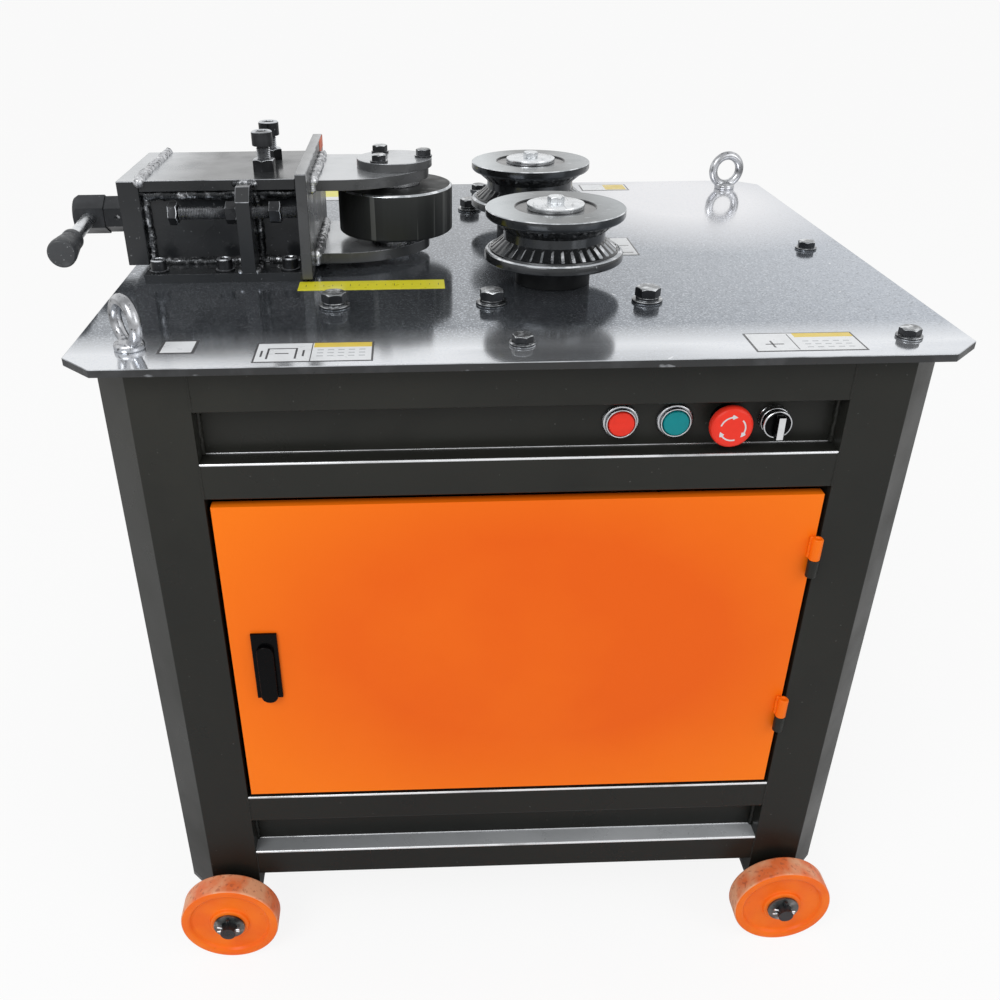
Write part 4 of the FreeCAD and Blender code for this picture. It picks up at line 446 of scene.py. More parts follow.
# Painted reflection: the plates' top faces are lighter than their sides, and lighter still towards the end plate
# and towards the fork.
painted_top_reflection = finish("painted_top_reflection", (0.075, 0.08, 0.083), metallic=0.75, roughness=0.2)
tinted(painted_top_reflection, growing(painted_top_reflection, "X", -340, -405), (0.5, 0.52, 0.54))
tinted(painted_top_reflection, growing(painted_top_reflection, "X", -235, -205), (0.54, 0.56, 0.58))
mottled(painted_top_reflection, (0.12, 0.125, 0.13), 0.55, 0.75, 0.6, 14, 6)
sheen(painted_top_reflection, 0.12, 0.3, 22, 6, high=0.72)
pebbled(painted_top_reflection, 0.00008, 0.4, 300, 3)


def press_plate(node, body, paint, radius=1.0):
    """Dress one of the press's plates, with painted highlights on its upward edges and a painted reflection on its
    top.
    """
    plate = from_cad(node, f"{node}_welded", radius)
    dressed(plate, paint, body, "press_paint", node)
    if node != "press_base_plate":
        finish_faces(plate, painted_top_reflection, lambda face: face.normal.z > 0.98)
    finish_faces(plate, press_edge_highlight, lambda face: narrow(plate, face, radius) and 0.2 < face.normal.z < 0.98)


for node in ("press_base_plate", "press_end_plate", "press_top_plate", "press_side_plates"):
    press_plate(node, "frame", press_paint)

# Press welds. Thick uneven beads left unground round the press box, with bright flecks painted on
# as glints. They run under the top plate, down the end plate and round the feet of the lugs.
weld_metal = finish("weld_metal", (0.09, 0.094, 0.1), metallic=0.75, roughness=0.26)
# Painted glints: bright flecks on the beads.
mottled(weld_metal, (0.7, 0.72, 0.75), 0.52, 0.64, 1, 170, 4)
mottled(weld_metal, (0.02, 0.022, 0.024), 0.46, 0.6, 0.9, 40, 2)
sheen(weld_metal, 0.14, 0.4, 90, 4)
pebbled(weld_metal, 0.0006, 0.9, 420, 3)

press_beads = []
for side in (-1, 1):
    press_beads += [
        weld("wall_top_bead", (-408, side * 73, 89), (-238, side * 73, 89), 6.6, 0.36),
        weld("wall_foot_bead", (-407, side * 74, 12), (-238, side * 74, 12), 5.0),
        weld("end_seam_bead", (-409, side * 73.5, 14), (-409, side * 73.5, 90), 5.2, 0.36),
        weld("lug_foot_bead", (-301.5, side * 75, 11), (-301.5, side * 117, 11), 3.6),
        weld("lug_foot_bead", (-282.5, side * 75, 11), (-282.5, side * 117, 11), 3.6),
        weld("lug_wall_bead", (-281, side * 74, 14), (-281, side * 74, 86), 4.6),
        weld("lug_head_bead", (-303, side * 85, 102), (-281, side * 85, 102), 4.0),
    ]
dressed(joined("press_welds", press_beads), weld_metal, "frame", "press_paint")

# Painted lighter, with bright flecks painted on as glints, for the beads on the end plate's top and at the fork.
glinting_bead = finish("glinting_bead", (0.5, 0.51, 0.53), metallic=0.7, roughness=0.3)
mottled(glinting_bead, (0.09, 0.093, 0.098), 0.54, 0.6, 0.85, 240, 4)
mottled(glinting_bead, (0.82, 0.83, 0.85), 0.5, 0.66, 1, 110, 3)
sheen(glinting_bead, 0.18, 0.42, 90, 4)
pebbled(glinting_bead, 0.0005, 0.8, 420, 3)
top_seam = weld("end_plate_bead", (-411, -84, 105), (-411, 84, 105), 6.6, 0.3)
dressed(top_seam, glinting_bead, "frame", "press_paint")


# Socket screws. Black oxide cap screws on washers hold the press base to the table, and two long
# set screws with lock nuts stand on its top plate. They are turned, threaded and broached.
def rounded_corners(points, soft):
    """Replace each inner corner of an open profile by two points and a middle one."""
    result = [points[0]]
    for before, corner, after in zip(points, points[1:], points[2:]):
        corner = Vector(corner)
        back = Vector(before) - corner
        ahead = Vector(after) - corner
        reach = min(soft, back.length * 0.4, ahead.length * 0.4)
        start = corner + back.normalized() * reach
        end = corner + ahead.normalized() * reach
        result += [tuple(start), tuple((start + end + corner * 2) / 4), tuple(end)]
    return result + [points[-1]]


facing = {"Z": (0, 0, 0), "X": (0, math.pi / 2, 0), "-Y": (math.pi / 2, 0, 0), "Y": (-math.pi / 2, 0, 0)}


def set_down(piece, spot, turn=(0, 0, 0)):
    """Turn a piece, move it to its place and write both into its mesh."""
    pick(piece)
    piece.rotation_euler = turn
    piece.location = spot
    bpy.ops.object.transform_apply(location=True, rotation=True, scale=True)


def spun(name, profile, at=(0, 0, 0), axis="Z", steps=48, soft=0.5):
    """Draw a profile of (radius, height) points in millimetres, spin it round, and set it along an axis."""
    points = rounded_corners(profile, soft) if soft else profile
    let_go()
    bpy.ops.mesh.primitive_plane_add(size=0.001)
    piece = bpy.context.object
    piece.name = name
    bpy.ops.object.mode_set(mode="EDIT")
    bpy.ops.mesh.select_mode(type="VERT")
    bpy.ops.mesh.select_all(action="SELECT")
    bpy.ops.mesh.merge(type="CENTER")
    bpy.ops.transform.translate(value=(points[0][0] * MM, 0, points[0][1] * MM))
    for (radius, height), (next_radius, next_height) in zip(points, points[1:]):
        step = ((next_radius - radius) * MM, 0, (next_height - height) * MM)
        bpy.ops.mesh.extrude_vertices_move(TRANSFORM_OT_translate={"value": step})
    bpy.ops.mesh.select_all(action="SELECT")
    bpy.ops.mesh.spin(steps=steps, angle=2 * math.pi, center=(0, 0, 0), axis=(0, 0, 1))
    bpy.ops.mesh.select_all(action="SELECT")
    bpy.ops.mesh.remove_doubles(threshold=0.000002)
    bpy.ops.mesh.normals_make_consistent(inside=False)
    bpy.ops.object.mode_set(mode="OBJECT")
    set_down(piece, at, facing[axis])
    bpy.ops.object.shade_smooth_by_angle(angle=math.radians(35))
    return piece


def six_sided(name, flats, height, at=(0, 0, 0), axis="Z", turn=0.0, chamfered=True):
    """A hexagon bar, with its far end chamfered as a bolt's head or a nut is."""
    let_go()
    bpy.ops.mesh.primitive_cylinder_add(vertices=6, radius=flats / 3**0.5 * MM, depth=height * MM)
    bar = bpy.context.object
    bar.name = name
    bar.location.z = height / 2 * MM
    bar.rotation_euler.z = math.radians(turn)
    bpy.ops.object.transform_apply(location=True, rotation=True, scale=False)
    if chamfered:
        corner = flats / 3**0.5
        drop = (corner - flats / 2) * 0.75
        cone = [
            (0, -1), (corner + 1, -1), (corner + 1, height - drop - 0.6), (flats / 2 - 0.6, height),
            (0, height),
        ]
        lens = spun(f"{name}_lens", cone, soft=0, steps=48)
        pick(bar)
        modified(bar, "BOOLEAN", operation="INTERSECT", solver="EXACT", object=lens)
        bpy.data.objects.remove(lens)
    eased(bar, 0.45, 1)
    set_down(bar, at, facing[axis])
    return bar


def thread(radius, low, high, pitch=1.6):
    """The outline of a screw thread between two heights."""
    ridges = []
    height = low
    while height + pitch <= high:
        ridges += [(radius - pitch * 0.55, height), (radius, height + pitch * 0.5)]
        height += pitch
    return ridges + [(radius - pitch * 0.55, height)]


def copied(piece, name, offset, turn=0.0):
    """A copy with its own mesh, turned about the upright axis through the origin and set down at a place."""
    copy = bpy.data.objects.new(name, piece.data.copy())
    bpy.context.scene.collection.objects.link(copy)
    copy.data.transform(Matrix.Translation(offset) @ Matrix.Rotation(math.radians(turn), 4, "Z"))
    return copy


black_oxide = finish("black_oxide", (0.016, 0.017, 0.019), metallic=0.6, roughness=0.28, shine=0.3)
mottled(black_oxide, (0.05, 0.052, 0.056), 0.4, 0.75, 0.7, 45, 4)
mottled(black_oxide, (0.25, 0.26, 0.28), 0.7, 0.76, 0.6, 300, 2)
sheen(black_oxide, 0.2, 0.46, 70, 5)
pebbled(black_oxide, 0.00008, 0.5, 500, 2)

# Painted highlight: the upward faces of the bolt heads are lighter than their sides.
bolt_top_highlight = finish("bolt_top_highlight", (0.24, 0.25, 0.26), metallic=0.85, roughness=0.24)
mottled(bolt_top_highlight, (0.68, 0.7, 0.72), 0.48, 0.62, 1, 130, 4)
mottled(bolt_top_highlight, (0.05, 0.052, 0.056), 0.55, 0.66, 0.8, 60, 3)
sheen(bolt_top_highlight, 0.14, 0.36, 90, 4)
pebbled(bolt_top_highlight, 0.00008, 0.5, 420, 2)

# Painted glints on the thread crests and the small upward faces of the screws and bolts.
crest_glint = finish("crest_glint", (0.55, 0.57, 0.6), metallic=0.9, roughness=0.24)
mottled(crest_glint, (0.12, 0.125, 0.13), 0.55, 0.7, 0.7, 40, 4)
sheen(crest_glint, 0.16, 0.36, 90, 4)
pebbled(crest_glint, 0.00005, 0.4, 420, 2)


def cap_screw(name, head_radius, head_height, socket, shank):
    """A cap screw standing on the origin: turned with its shank, then broached with a hexagon."""
    profile = shank + [
        (shank[-1][0], 0),
        (head_radius - 0.6, 0),
        (head_radius, 0.6),
        (head_radius, head_height - 1.2),
        (head_radius - 1.2, head_height),
        (socket / 3**0.5 + 0.4, head_height),
        (socket / 3**0.5 - 0.8, head_height - 1.1),
        (0, head_height - 1.1),
    ]
    screw = spun(name, profile, soft=0)
    tool = six_sided(f"{name}_broach", socket, head_height, (0, 0, head_height * 0.45 * MM), chamfered=False)
    pick(screw)
    modified(screw, "BOOLEAN", operation="DIFFERENCE", solver="EXACT", object=tool)
    bpy.data.objects.remove(tool)
    pick(screw)
    bpy.ops.object.shade_smooth_by_angle(angle=math.radians(32))
    return screw


base_screw = cap_screw("base_screw", 9, 12, 10, [(0, -30), (6, -30)])
base_washer = spun("base_washer", [(0, -2), (11, -2), (11, 0), (0, 0)], soft=0.4)
set_screw = cap_screw("set_screw", 12, 16, 14, [(0, -39.7), (7.4, -39.7)] + thread(8, -36, -2, 2.0))
set_nut = six_sided("set_nut", 24, 13, turn=8)
screws = []
for step in range(3):
    for side in (-1, 1):
        spot = place(-397 + 75.5 * step, side * 104.5, 12)
        screws.append(copied(base_screw, "base_screw_copy", spot, turn=17 * step + 9 * side))
        screws.append(copied(base_washer, "base_washer_copy", spot))
for side in (-1, 1):
    screws.append(copied(set_screw, "set_screw_copy", place(-275, side * 34, 134), turn=20 * side))
    screws.append(copied(set_nut, "set_nut_copy", place(-275, side * 34, 106.5), turn=12 * side))
for pattern in (base_screw, base_washer, set_screw, set_nut):
    bpy.data.objects.remove(pattern)
cap_screws = dressed(joined("press_cap_screws", screws), black_oxide, "frame", "black_oxide", "press_screws")
# Painted highlight on the small upward faces of the screw heads and threads.
finish_faces(cap_screws, crest_glint, lambda face: face.normal.z > 0.35 and face.area < 0.00003)

# Stop bolts. A long threaded bolt through each lug, with its head at the left, a lock nut against
# the lug and another near the flange plate. Black oxide, with painted glints on the thread crests
# and the upward edges.
stops = []
for side in (-1, 1):
    outline = [(0, 0)] + thread(7, 0.2, 134.6, 1.75) + [(0, 135.6)]
    stops.append(spun("stop_shank", outline, place(-367, side * 102, 74), "X", steps=28, soft=0))
    stops.append(six_sided("stop_head", 22, 10, place(-377, side * 102, 74), "X", turn=11))
    stops.append(six_sided("stop_nut", 22, 13, place(-313, side * 102, 74), "X", turn=24))
    stops.append(six_sided("stop_end_nut", 22, 13, place(-264.3, side * 102, 74), "X", turn=40))
stop_set = dressed(joined("stop_bolt_set", stops), black_oxide, "frame", "black_oxide", "stop_bolts")
finish_faces(stop_set, crest_glint, lambda face: face.normal.x > 0.3 and face.area < 0.000004)
finish_faces(stop_set, crest_glint, lambda face: face.normal.z > 0.1 and narrow(stop_set, face, 0.7))

# Crank. A dark hexagonal hub on the screw, a bright zinc rod across it and a moulded rubber grip
# that widens to a flat end. The rod tilts 4.5 degrees down towards the front.
dark_steel = finish("dark_steel", (0.035, 0.037, 0.04), metallic=0.8, roughness=0.32)
mottled(dark_steel, (0.08, 0.083, 0.09), 0.4, 0.72, 0.7, 30, 5)
mottled(dark_steel, (0.35, 0.36, 0.38), 0.72, 0.78, 0.6, 300, 2)
sheen(dark_steel, 0.24, 0.48, 50, 5)
pebbled(dark_steel, 0.00012, 0.5, 340, 3)

zinc_steel = finish("zinc_steel", (0.74, 0.76, 0.78), metallic=1.0, roughness=0.24)
mottled(zinc_steel, (0.42, 0.44, 0.46), 0.5, 0.75, 0.8, 60, 4)
mottled(zinc_steel, (0.2, 0.21, 0.22), 0.6, 0.7, 0.5, 420, 2, (1, 0.12, 1))
sheen(zinc_steel, 0.16, 0.4, 110, 4)
pebbled(zinc_steel, 0.00005, 0.4, 500, 2)

black_rubber = finish("black_rubber", (0.04, 0.043, 0.047), roughness=0.55)
mottled(black_rubber, (0.1, 0.107, 0.115), 0.45, 0.75, 0.7, 70, 5)
mottled(black_rubber, (0.3, 0.31, 0.32), 0.7, 0.74, 0.8, 420, 1)
sheen(black_rubber, 0.42, 0.68, 120, 4)
pebbled(black_rubber, 0.00025, 0.6, 650, 3)

dressed(from_cad("crank_hub", "hexagon_hub", 0.6), dark_steel, "screw", "dark_steel", "crank_hub")


def along_crank(piece, distance):
    """Turn an upright piece onto the crank's line, so far from the screw's axis."""
    tilt = math.radians(4.5)
    away = Vector((0, -math.cos(tilt), -math.sin(tilt)))
    set_down(piece, place(-494.3, 0, 51) + away * distance * MM, (math.pi / 2 + tilt, 0, 0))


crank_bar = spun("crank_bar", [(0, 0), (8, 0), (8, 143.5), (0, 143.5)], soft=0.8)
along_crank(crank_bar, -12)
dressed(crank_bar, zinc_steel, "screw", "zinc_steel", "crank_rod")

grip_outline = [
    (8.2, 0), (10.6, 0), (12.4, 1.6), (12.4, 9), (11.4, 11.5), (12.6, 14), (16, 42), (16, 49), (14.6, 51),
    (0, 51),
]
grip = spun("crank_grip_sleeve", grip_outline, soft=0.9)
along_crank(grip, 88)
dressed(grip, black_rubber, "screw", "black_rubber", "crank_grip")

# Ram and fork. The ram's block, the flange plate on its front and the two fork plates welded to it:
# flame-cut plate, painted as the press box is, with broad beads above and below.
dressed(from_cad("ram_block", "ram_slide_block", 0.6), press_paint, "ram", "press_paint", "ram_block")
fork_paint = finish("fork_paint", (0.05, 0.052, 0.054), metallic=0.2, roughness=0.28)
mottled(fork_paint, (0.09, 0.092, 0.095), 0.38, 0.68, 0.8, 9, 5)
mottled(fork_paint, (0.025, 0.027, 0.029), 0.58, 0.7, 0.6, 40, 5)
sheen(fork_paint, 0.18, 0.4, 22, 6, high=0.72)
pebbled(fork_paint, 0.00012, 0.4, 300, 3)
press_plate("flange_plate", "ram", fork_paint, 1.1)
press_plate("fork_plates", "ram", fork_paint, 1.1)

fork_beads = [
    weld("upper_fork_bead", (-216, -76, 102), (-216, 76, 102), 6.4, 0.3),
    weld("lower_fork_bead", (-216, -76, 18.5), (-216, 76, 18.5), 6.4, 0.3),
    weld("upper_edge_bead", (-217.5, -79, 92), (-217.5, -79, 101), 4.2),
    weld("lower_edge_bead", (-217.5, -79, 9), (-217.5, -79, 18), 4.0),
]
dressed(joined("fork_welds", fork_beads), glinting_bead, "ram", "press_paint")

orange_patch = finish("orange_patch", (0.8, 0.12, 0.02), roughness=0.45)
mottled(orange_patch, (0.5, 0.06, 0.015), 0.5, 0.7, 0.8, 60, 5)
sheen(orange_patch, 0.35, 0.6, 90, 4)
pebbled(orange_patch, 0.0001, 0.4, 300, 3)
patch = block("flange_paint_patch", place(-218.8, 101, 112), (0.0005, 0.05, 0.014), 0.15)
dressed(patch, orange_patch, "ram", "press_paint")

# Press roller. A blackened steel roller on a bush and a ground pin, held by a thick keeper plate
# with three bolts. The roller's top outer rim is painted bright as a highlight.
roller_steel = finish("roller_steel", (0.02, 0.0215, 0.0215), metallic=0.4, roughness=0.5, shine=0.3)
mottled(roller_steel, (0.042, 0.044, 0.043), 0.4, 0.62, 0.8, 22, 3, (1, 1, 0.02))
mottled(roller_steel, (0.16, 0.165, 0.16), 0.63, 0.65, 0.45, 90, 2, (1, 1, 0.02))
sheen(roller_steel, 0.4, 0.6, 40, 5, (1, 1, 0.25))
pebbled(roller_steel, 0.00006, 0.4, 240, 2, (1, 1, 0.1))

# Painted highlight: a bright finish for the rollers' rims, lips and ribs.
rim_glint = finish("rim_glint", (0.4, 0.42, 0.44), metallic=0.9, roughness=0.24)
mottled(rim_glint, (0.8, 0.82, 0.85), 0.46, 0.6, 1, 60, 5)
sheen(rim_glint, 0.16, 0.4, 90, 4)
pebbled(rim_glint, 0.0003, 0.6, 260, 3)


press_x = -124
press_middle = place(press_x, 0, 0)
barrel = [(22, 0), (66.6, 0), (69.25, 2.2), (69.25, 51.9), (67.2, 53.9), (24, 53.9), (22, 53.2), (22, 0)]
press_barrel = spun("press_roller_barrel", barrel, place(press_x, 0, 28.55), steps=96, soft=0.6)
bush = spun(
    "press_roller_bush", [(15.05, 0.2), (21.9, 0.2), (21.9, 53.7), (15.05, 53.7), (15.05, 0.2)],
    place(press_x, 0, 28.55), soft=0.5,
)
press_barrel.data.materials.append(roller_steel)
bush.data.materials.append(roller_steel)
dressed(
    joined("press_roller_wheel", [press_barrel, bush]), None, "press_roller", "roller_steel", "press_roller",
)
rim_low = place(0, 0, 80.4).z
finish_faces(
    bpy.data.objects["press_roller_wheel"], rim_glint,
    lambda face: face.center.z > rim_low and (face.center.xy - press_middle.xy).length > 0.0668,
)

bright_steel = finish("bright_steel", (0.58, 0.59, 0.61), metallic=1.0, roughness=0.24)
mottled(bright_steel, (0.3, 0.31, 0.33), 0.45, 0.75, 0.7, 80, 4)
sheen(bright_steel, 0.16, 0.36, 160, 4)
pebbled(bright_steel, 0.00004, 0.4, 600, 2)
dressed(from_cad("roller_pin", "ground_roller_pin", 0.4), bright_steel, "ram", "bright_steel", "roller_pin")

keeper_disc = dressed(
    from_cad("keeper_plate", "keeper_disc", 0.8), fork_paint, "ram", "dark_steel", "keeper_plate",
)
finish_faces(keeper_disc, painted_top_reflection, lambda face: face.normal.z > 0.98)
finish_faces(keeper_disc, press_edge_highlight, lambda face: 0.2 < face.normal.z < 0.98)


def bolt_on_washers(name, flats, head, shank_radius, length, washers):
    """A hexagon bolt standing on its washers, the lowest of which lies on the origin."""
    parts = []
    height = 0
    for washer_radius, thickness in washers:
        outline = [
            (0, height), (washer_radius, height), (washer_radius, height + thickness),
            (0, height + thickness),
        ]
        parts.append(spun(f"{name}_washer", outline, soft=0.5))
        height += thickness
    shank = [(0, -length), (shank_radius, -length), (shank_radius, 0.5), (0, 0.5)]
    parts.append(spun(f"{name}_shank", shank, soft=0.6, steps=32))
    parts.append(six_sided(f"{name}_head", flats, head, (0, 0, height * MM), turn=14))
    return joined(name, parts)


keeper_bolt = bolt_on_washers("keeper_bolt", 16, 7, 5, 22, [(10.5, 2)])
keeper_bolts = []
for index, angle in enumerate((0, 120, 240)):
    across = press_x + 35 * math.cos(math.radians(angle))
    along = 35 * math.sin(math.radians(angle))
    keeper_bolts.append(copied(keeper_bolt, "keeper_bolt_copy", place(across, along, 113), turn=index * 23))
bpy.data.objects.remove(keeper_bolt)
keeper_set = dressed(
    joined("keeper_bolt_set", keeper_bolts), black_oxide, "ram", "black_oxide", "keeper_bolts",
)
finish_faces(keeper_set, bolt_top_highlight, lambda face: face.normal.z > 0.35)

# Driven rollers. Each is a lower disc with a lipped, serrated cone, a neck and an upper disc with
# serrations under it: blackened steel, turned and milled, with painted highlights on the rims, the
# lip and the ribs, and a painted reflection on the top.
serrations = 36
columns = serrations * 4
roller_x = 55
roller_places = (("front", -130), ("rear", 130))
disc_steel = finish("disc_steel", (0.03, 0.032, 0.034), metallic=0.7, roughness=0.18, coat=0.2)
mottled(disc_steel, (0.07, 0.074, 0.08), 0.4, 0.72, 0.6, 12, 4)
mottled(disc_steel, (0.4, 0.42, 0.45), 0.76, 0.8, 0.5, 260, 2)
sheen(disc_steel, 0.1, 0.3, 55, 5, high=0.72)
pebbled(disc_steel, 0.00004, 0.35, 420, 2)

# Painted reflection: the discs' top faces are lighter than their sides, brightest towards the left and at the
# right edge.
disc_top_reflection = finish("disc_top_reflection", (0.07, 0.08, 0.083), metallic=0.85, roughness=0.16)
tinted(disc_top_reflection, growing(disc_top_reflection, "X", 40, -10), (0.5, 0.54, 0.56))
tinted(disc_top_reflection, growing(disc_top_reflection, "X", 80, 125), (0.26, 0.285, 0.3))
mottled(disc_top_reflection, (0.5, 0.52, 0.55), 0.62, 0.72, 0.5, 90, 6, (1, 3, 1))
sheen(disc_top_reflection, 0.08, 0.26, 30, 5, high=0.72)
pebbled(disc_top_reflection, 0.00003, 0.35, 420, 2)

stack = [
    (25.05, 26), (76.8, 26), (78, 27.2), (78, 33.4), (77.2, 35.2), (75.6, 36.6), (74.3, 36.9), (73.5, 36.0),
    (72.8, 36.4), (72.2, 38.0), (71.2, 38.7), (70, 39), (58.5, 48.5), (57, 49.6), (57, 50.4), (57, 57.9),
    (57, 58.7), (58.5, 59.8), (70, 69.3), (71.2, 69.6), (72.2, 70.3), (72.8, 71.9), (73.5, 72.3), (
        74.3, 71.4,
    ),
    (75.6, 71.7), (77.2, 73.1), (78, 74.9), (78, 81.4), (77.1, 82.3), (46, 82.3), (45, 81.4), (45, 80.6),
    (25.05, 80.6), (25.05, 26),
]


def serrate(piece, low_radius, high_radius, height_range, drop):
    """Push every fourth column of a cone's corners in, which leaves straight V grooves."""
    bpy.ops.object.mode_set(mode="EDIT")

    def in_groove(corner, middle):
        radius = math.hypot(middle.x, middle.y) / MM
        column = round(math.atan2(middle.y, middle.x) / (2 * math.pi) * columns) % 4
        height = middle.z / MM
        on_cone = low_radius < radius < high_radius and height_range[0] < height < height_range[1]
        return column == 0 and on_cone

    choose(piece, "VERT", in_groove)
    bpy.ops.transform.translate(value=(0, 0, drop * MM))
    bpy.ops.object.mode_set(mode="OBJECT")


for end, y in roller_places:
    roller = spun(f"serrated_roller_{end}", stack, steps=columns, soft=0)
    serrate(roller, 58, 70.5, (38, 49), -2.4)
    serrate(roller, 58, 70.5, (59, 70), 2.4)
    set_down(roller, place(roller_x, y, 0))
    bpy.ops.object.shade_smooth_by_angle(angle=math.radians(28))
    dressed(roller, disc_steel, f"{end}_roller", "roller_steel", f"drive_roller_{end}")
    lip_low, lip_high = place(0, 0, 35.8).z, place(0, 0, 37.0).z
    top_low, top_high = place(0, 0, 81.3).z, place(0, 0, 82.25).z
    middle = place(roller_x, y, 0).xy
    finish_faces(roller, disc_top_reflection, lambda face: face.center.z > top_low and face.normal.z > 0.9)
    finish_faces(
        roller,
        rim_glint,
        lambda face: (face.center.xy - middle).length > 0.0705
        and (lip_low < face.center.z < lip_high or top_low < face.center.z < top_high),
    )

    # Painted highlights on the ribs of the lower cone.
    def on_rib(face):
        away = face.center.xy - middle
        share = math.atan2(away.y, away.x) / (2 * math.pi) * serrations % 1
        return share < 0.26 and rib_low < face.center.z < rib_high and 0.0585 < away.length < 0.0715

    rib_low, rib_high = place(0, 0, 38).z, place(0, 0, 49).z
    finish_faces(roller, rim_glint, on_rib)

# Roller shafts. Each ends in a thick bright washer and a zinc bolt on top of its roller, and runs
# down through the foot collar and the housing to its gear.
for end, y in roller_places:
    shaft = spun(
        "shaft_bar", [(0, -152), (24.2, -152), (25, -151.2), (25, 80.5), (0, 80.5)], place(roller_x, y, 0), soft=0,
    )
    washer = spun(
        "shaft_washer", [(0, 80.6), (32, 80.6), (32, 86.3), (0, 86.3)], place(roller_x, y, 0), steps=64, soft=0.8,
    )
    head = six_sided("shaft_bolt", 17, 7.4, place(roller_x, y, 86.3), turn=20)
    collar = spun(
        "shaft_bolt_collar", [(0, 86.3), (9.6, 86.3), (9.6, 87.3), (0, 87.3)], place(roller_x, y, 0), soft=0.4,
    )
    dressed(
        joined(f"roller_shaft_and_bolt_{end}", [shaft, washer, head, collar]), zinc_steel, f"{end}_roller",
        "bright_steel", f"roller_shaft_{end}",
    )

# Table fasteners. Six large bolts go down to the bearing plate and five smaller ones into the rails
# and gussets: black oxide heads on flat washers, each turned its own way.
large_washers = [(16.5, 3), (12.5, 3)]
large_bolt = bolt_on_washers("large_bolt", 24, 10, 8, 41.3, large_washers)
large_nut = six_sided("large_nut", 24, 13)
small_bolt = bolt_on_washers("small_bolt", 19, 7.5, 6, 30, [(13, 2.5)])
table_bolts = []
for step in (-1, 0, 1):
    for side in (-1, 1):
        spot = place(-21 + 168.5 * step, side * 213, 0)
        table_bolts.append(copied(large_bolt, "large_bolt_copy", spot, turn=21 * step + 13 * side))
        table_bolts.append(copied(large_nut, "large_nut_copy", spot + Vector((0, 0, -0.041)), turn=31 * step))
for index, (x, y) in enumerate(((0, -337), (0, 337), (388, -18), (380, -337), (-380, 337))):
    table_bolts.append(copied(small_bolt, "small_bolt_copy", place(x, y, 0), turn=17 * index))
for pattern in (large_bolt, large_nut, small_bolt):
    bpy.data.objects.remove(pattern)
table_set = dressed(joined("table_bolt_set", table_bolts), black_oxide, "frame", "black_oxide", "table_bolts")
finish_faces(table_set, bolt_top_highlight, lambda face: face.normal.z > 0.35 or narrow(table_set, face, 0.5))

# Lifting eyes. Forged rings on round collars at two corners, plated bright and a little worn. Each
# ring grows out of its collar through a flared neck.
chrome_steel = finish("chrome_steel", (0.52, 0.53, 0.55), metallic=1.0, roughness=0.17)
mottled(chrome_steel, (0.2, 0.205, 0.215), 0.4, 0.65, 0.85, 55, 5)
mottled(chrome_steel, (0.06, 0.06, 0.062), 0.62, 0.7, 0.9, 240, 3)
sheen(chrome_steel, 0.12, 0.36, 130, 4)
pebbled(chrome_steel, 0.00025, 0.5, 180, 3)

eyes = []
for (x, y), turn in (((-380.5, -330), 130), ((380.5, 330), 8)):
    let_go()
    bpy.ops.mesh.primitive_torus_add(
        major_segments=64, minor_segments=24, major_radius=0.0209, minor_radius=0.0062,
    )
    ring = bpy.context.object
    set_down(ring, place(x, y, 27), (math.pi / 2, 0, math.radians(turn)))
    stem = spun(
        "eye_stem",
        [
            (0, -22), (6, -22), (6, -0.2), (14.2, -0.2), (15, 0.8), (15, 5.4), (13.4, 7.0), (10.2, 7.4),
            (8, 8.6), (6, 10.6), (0, 10.6),
        ],
        place(x, y, 0), soft=0.5,
    )
    ring.name = "eye_ring"
    eye = joined("eye", [ring, stem])
    pick(eye)
    modified(eye, "REMESH", mode="VOXEL", voxel_size=0.0007)
    modified(eye, "SMOOTH", iterations=2)
    modified(eye, "DECIMATE", ratio=0.22)
    bpy.ops.object.shade_smooth()
    eyes.append(eye)
dressed(joined("forged_eyes", eyes), chrome_steel, "frame", "chrome_steel", "lifting_eyes")


# Plates and rule. A yellow rule with a mark each centimetre lies in front of the press, and blank
# identification plates are stuck to the table: white vinyl with dark borders and no lettering.
def tile(name, low, high, thickness=0.25):
    """A thin rectangle on the table between two corners given as (x, y)."""
    middle = place((low[0] + high[0]) / 2, (low[1] + high[1]) / 2, thickness / 2 + 0.01)
    return block(name, middle, ((high[0] - low[0]) * MM, (high[1] - low[1]) * MM, thickness * MM), 0.08)


def vinyl(name, colour):
    film = finish(name, colour, roughness=0.35, coat=0.3)
    mottled(film, tuple(part * 0.6 for part in colour), 0.55, 0.8, 0.3, 60, 5)
    sheen(film, 0.25, 0.45, 80, 4)
    pebbled(film, 0.00005, 0.4, 300, 2)
    return film


rule_yellow = vinyl("rule_yellow", (0.78, 0.72, 0.03))
plate_white = vinyl("plate_white", (0.78, 0.8, 0.82))
plate_ink = vinyl("plate_ink", (0.03, 0.03, 0.035))
plate_header = vinyl("plate_header", (0.75, 0.55, 0.05))
plate_grey = vinyl("plate_grey", (0.4, 0.42, 0.44))

rule = tile("table_rule", (-234.5, -156), (-69, -124), 0.5)
dressed(rule, rule_yellow, "frame", "table_paint")
marks = []
for index in range(16):
    x = -226 + 10 * index
    half = 3.2 if index % 5 == 0 else 1.8
    marks.append(tile("mark", (x - 0.35, -140 - half), (x + 0.35, -140 + half), 0.62))
dressed(joined("rule_marks", marks), plate_ink, "frame", "table_paint")

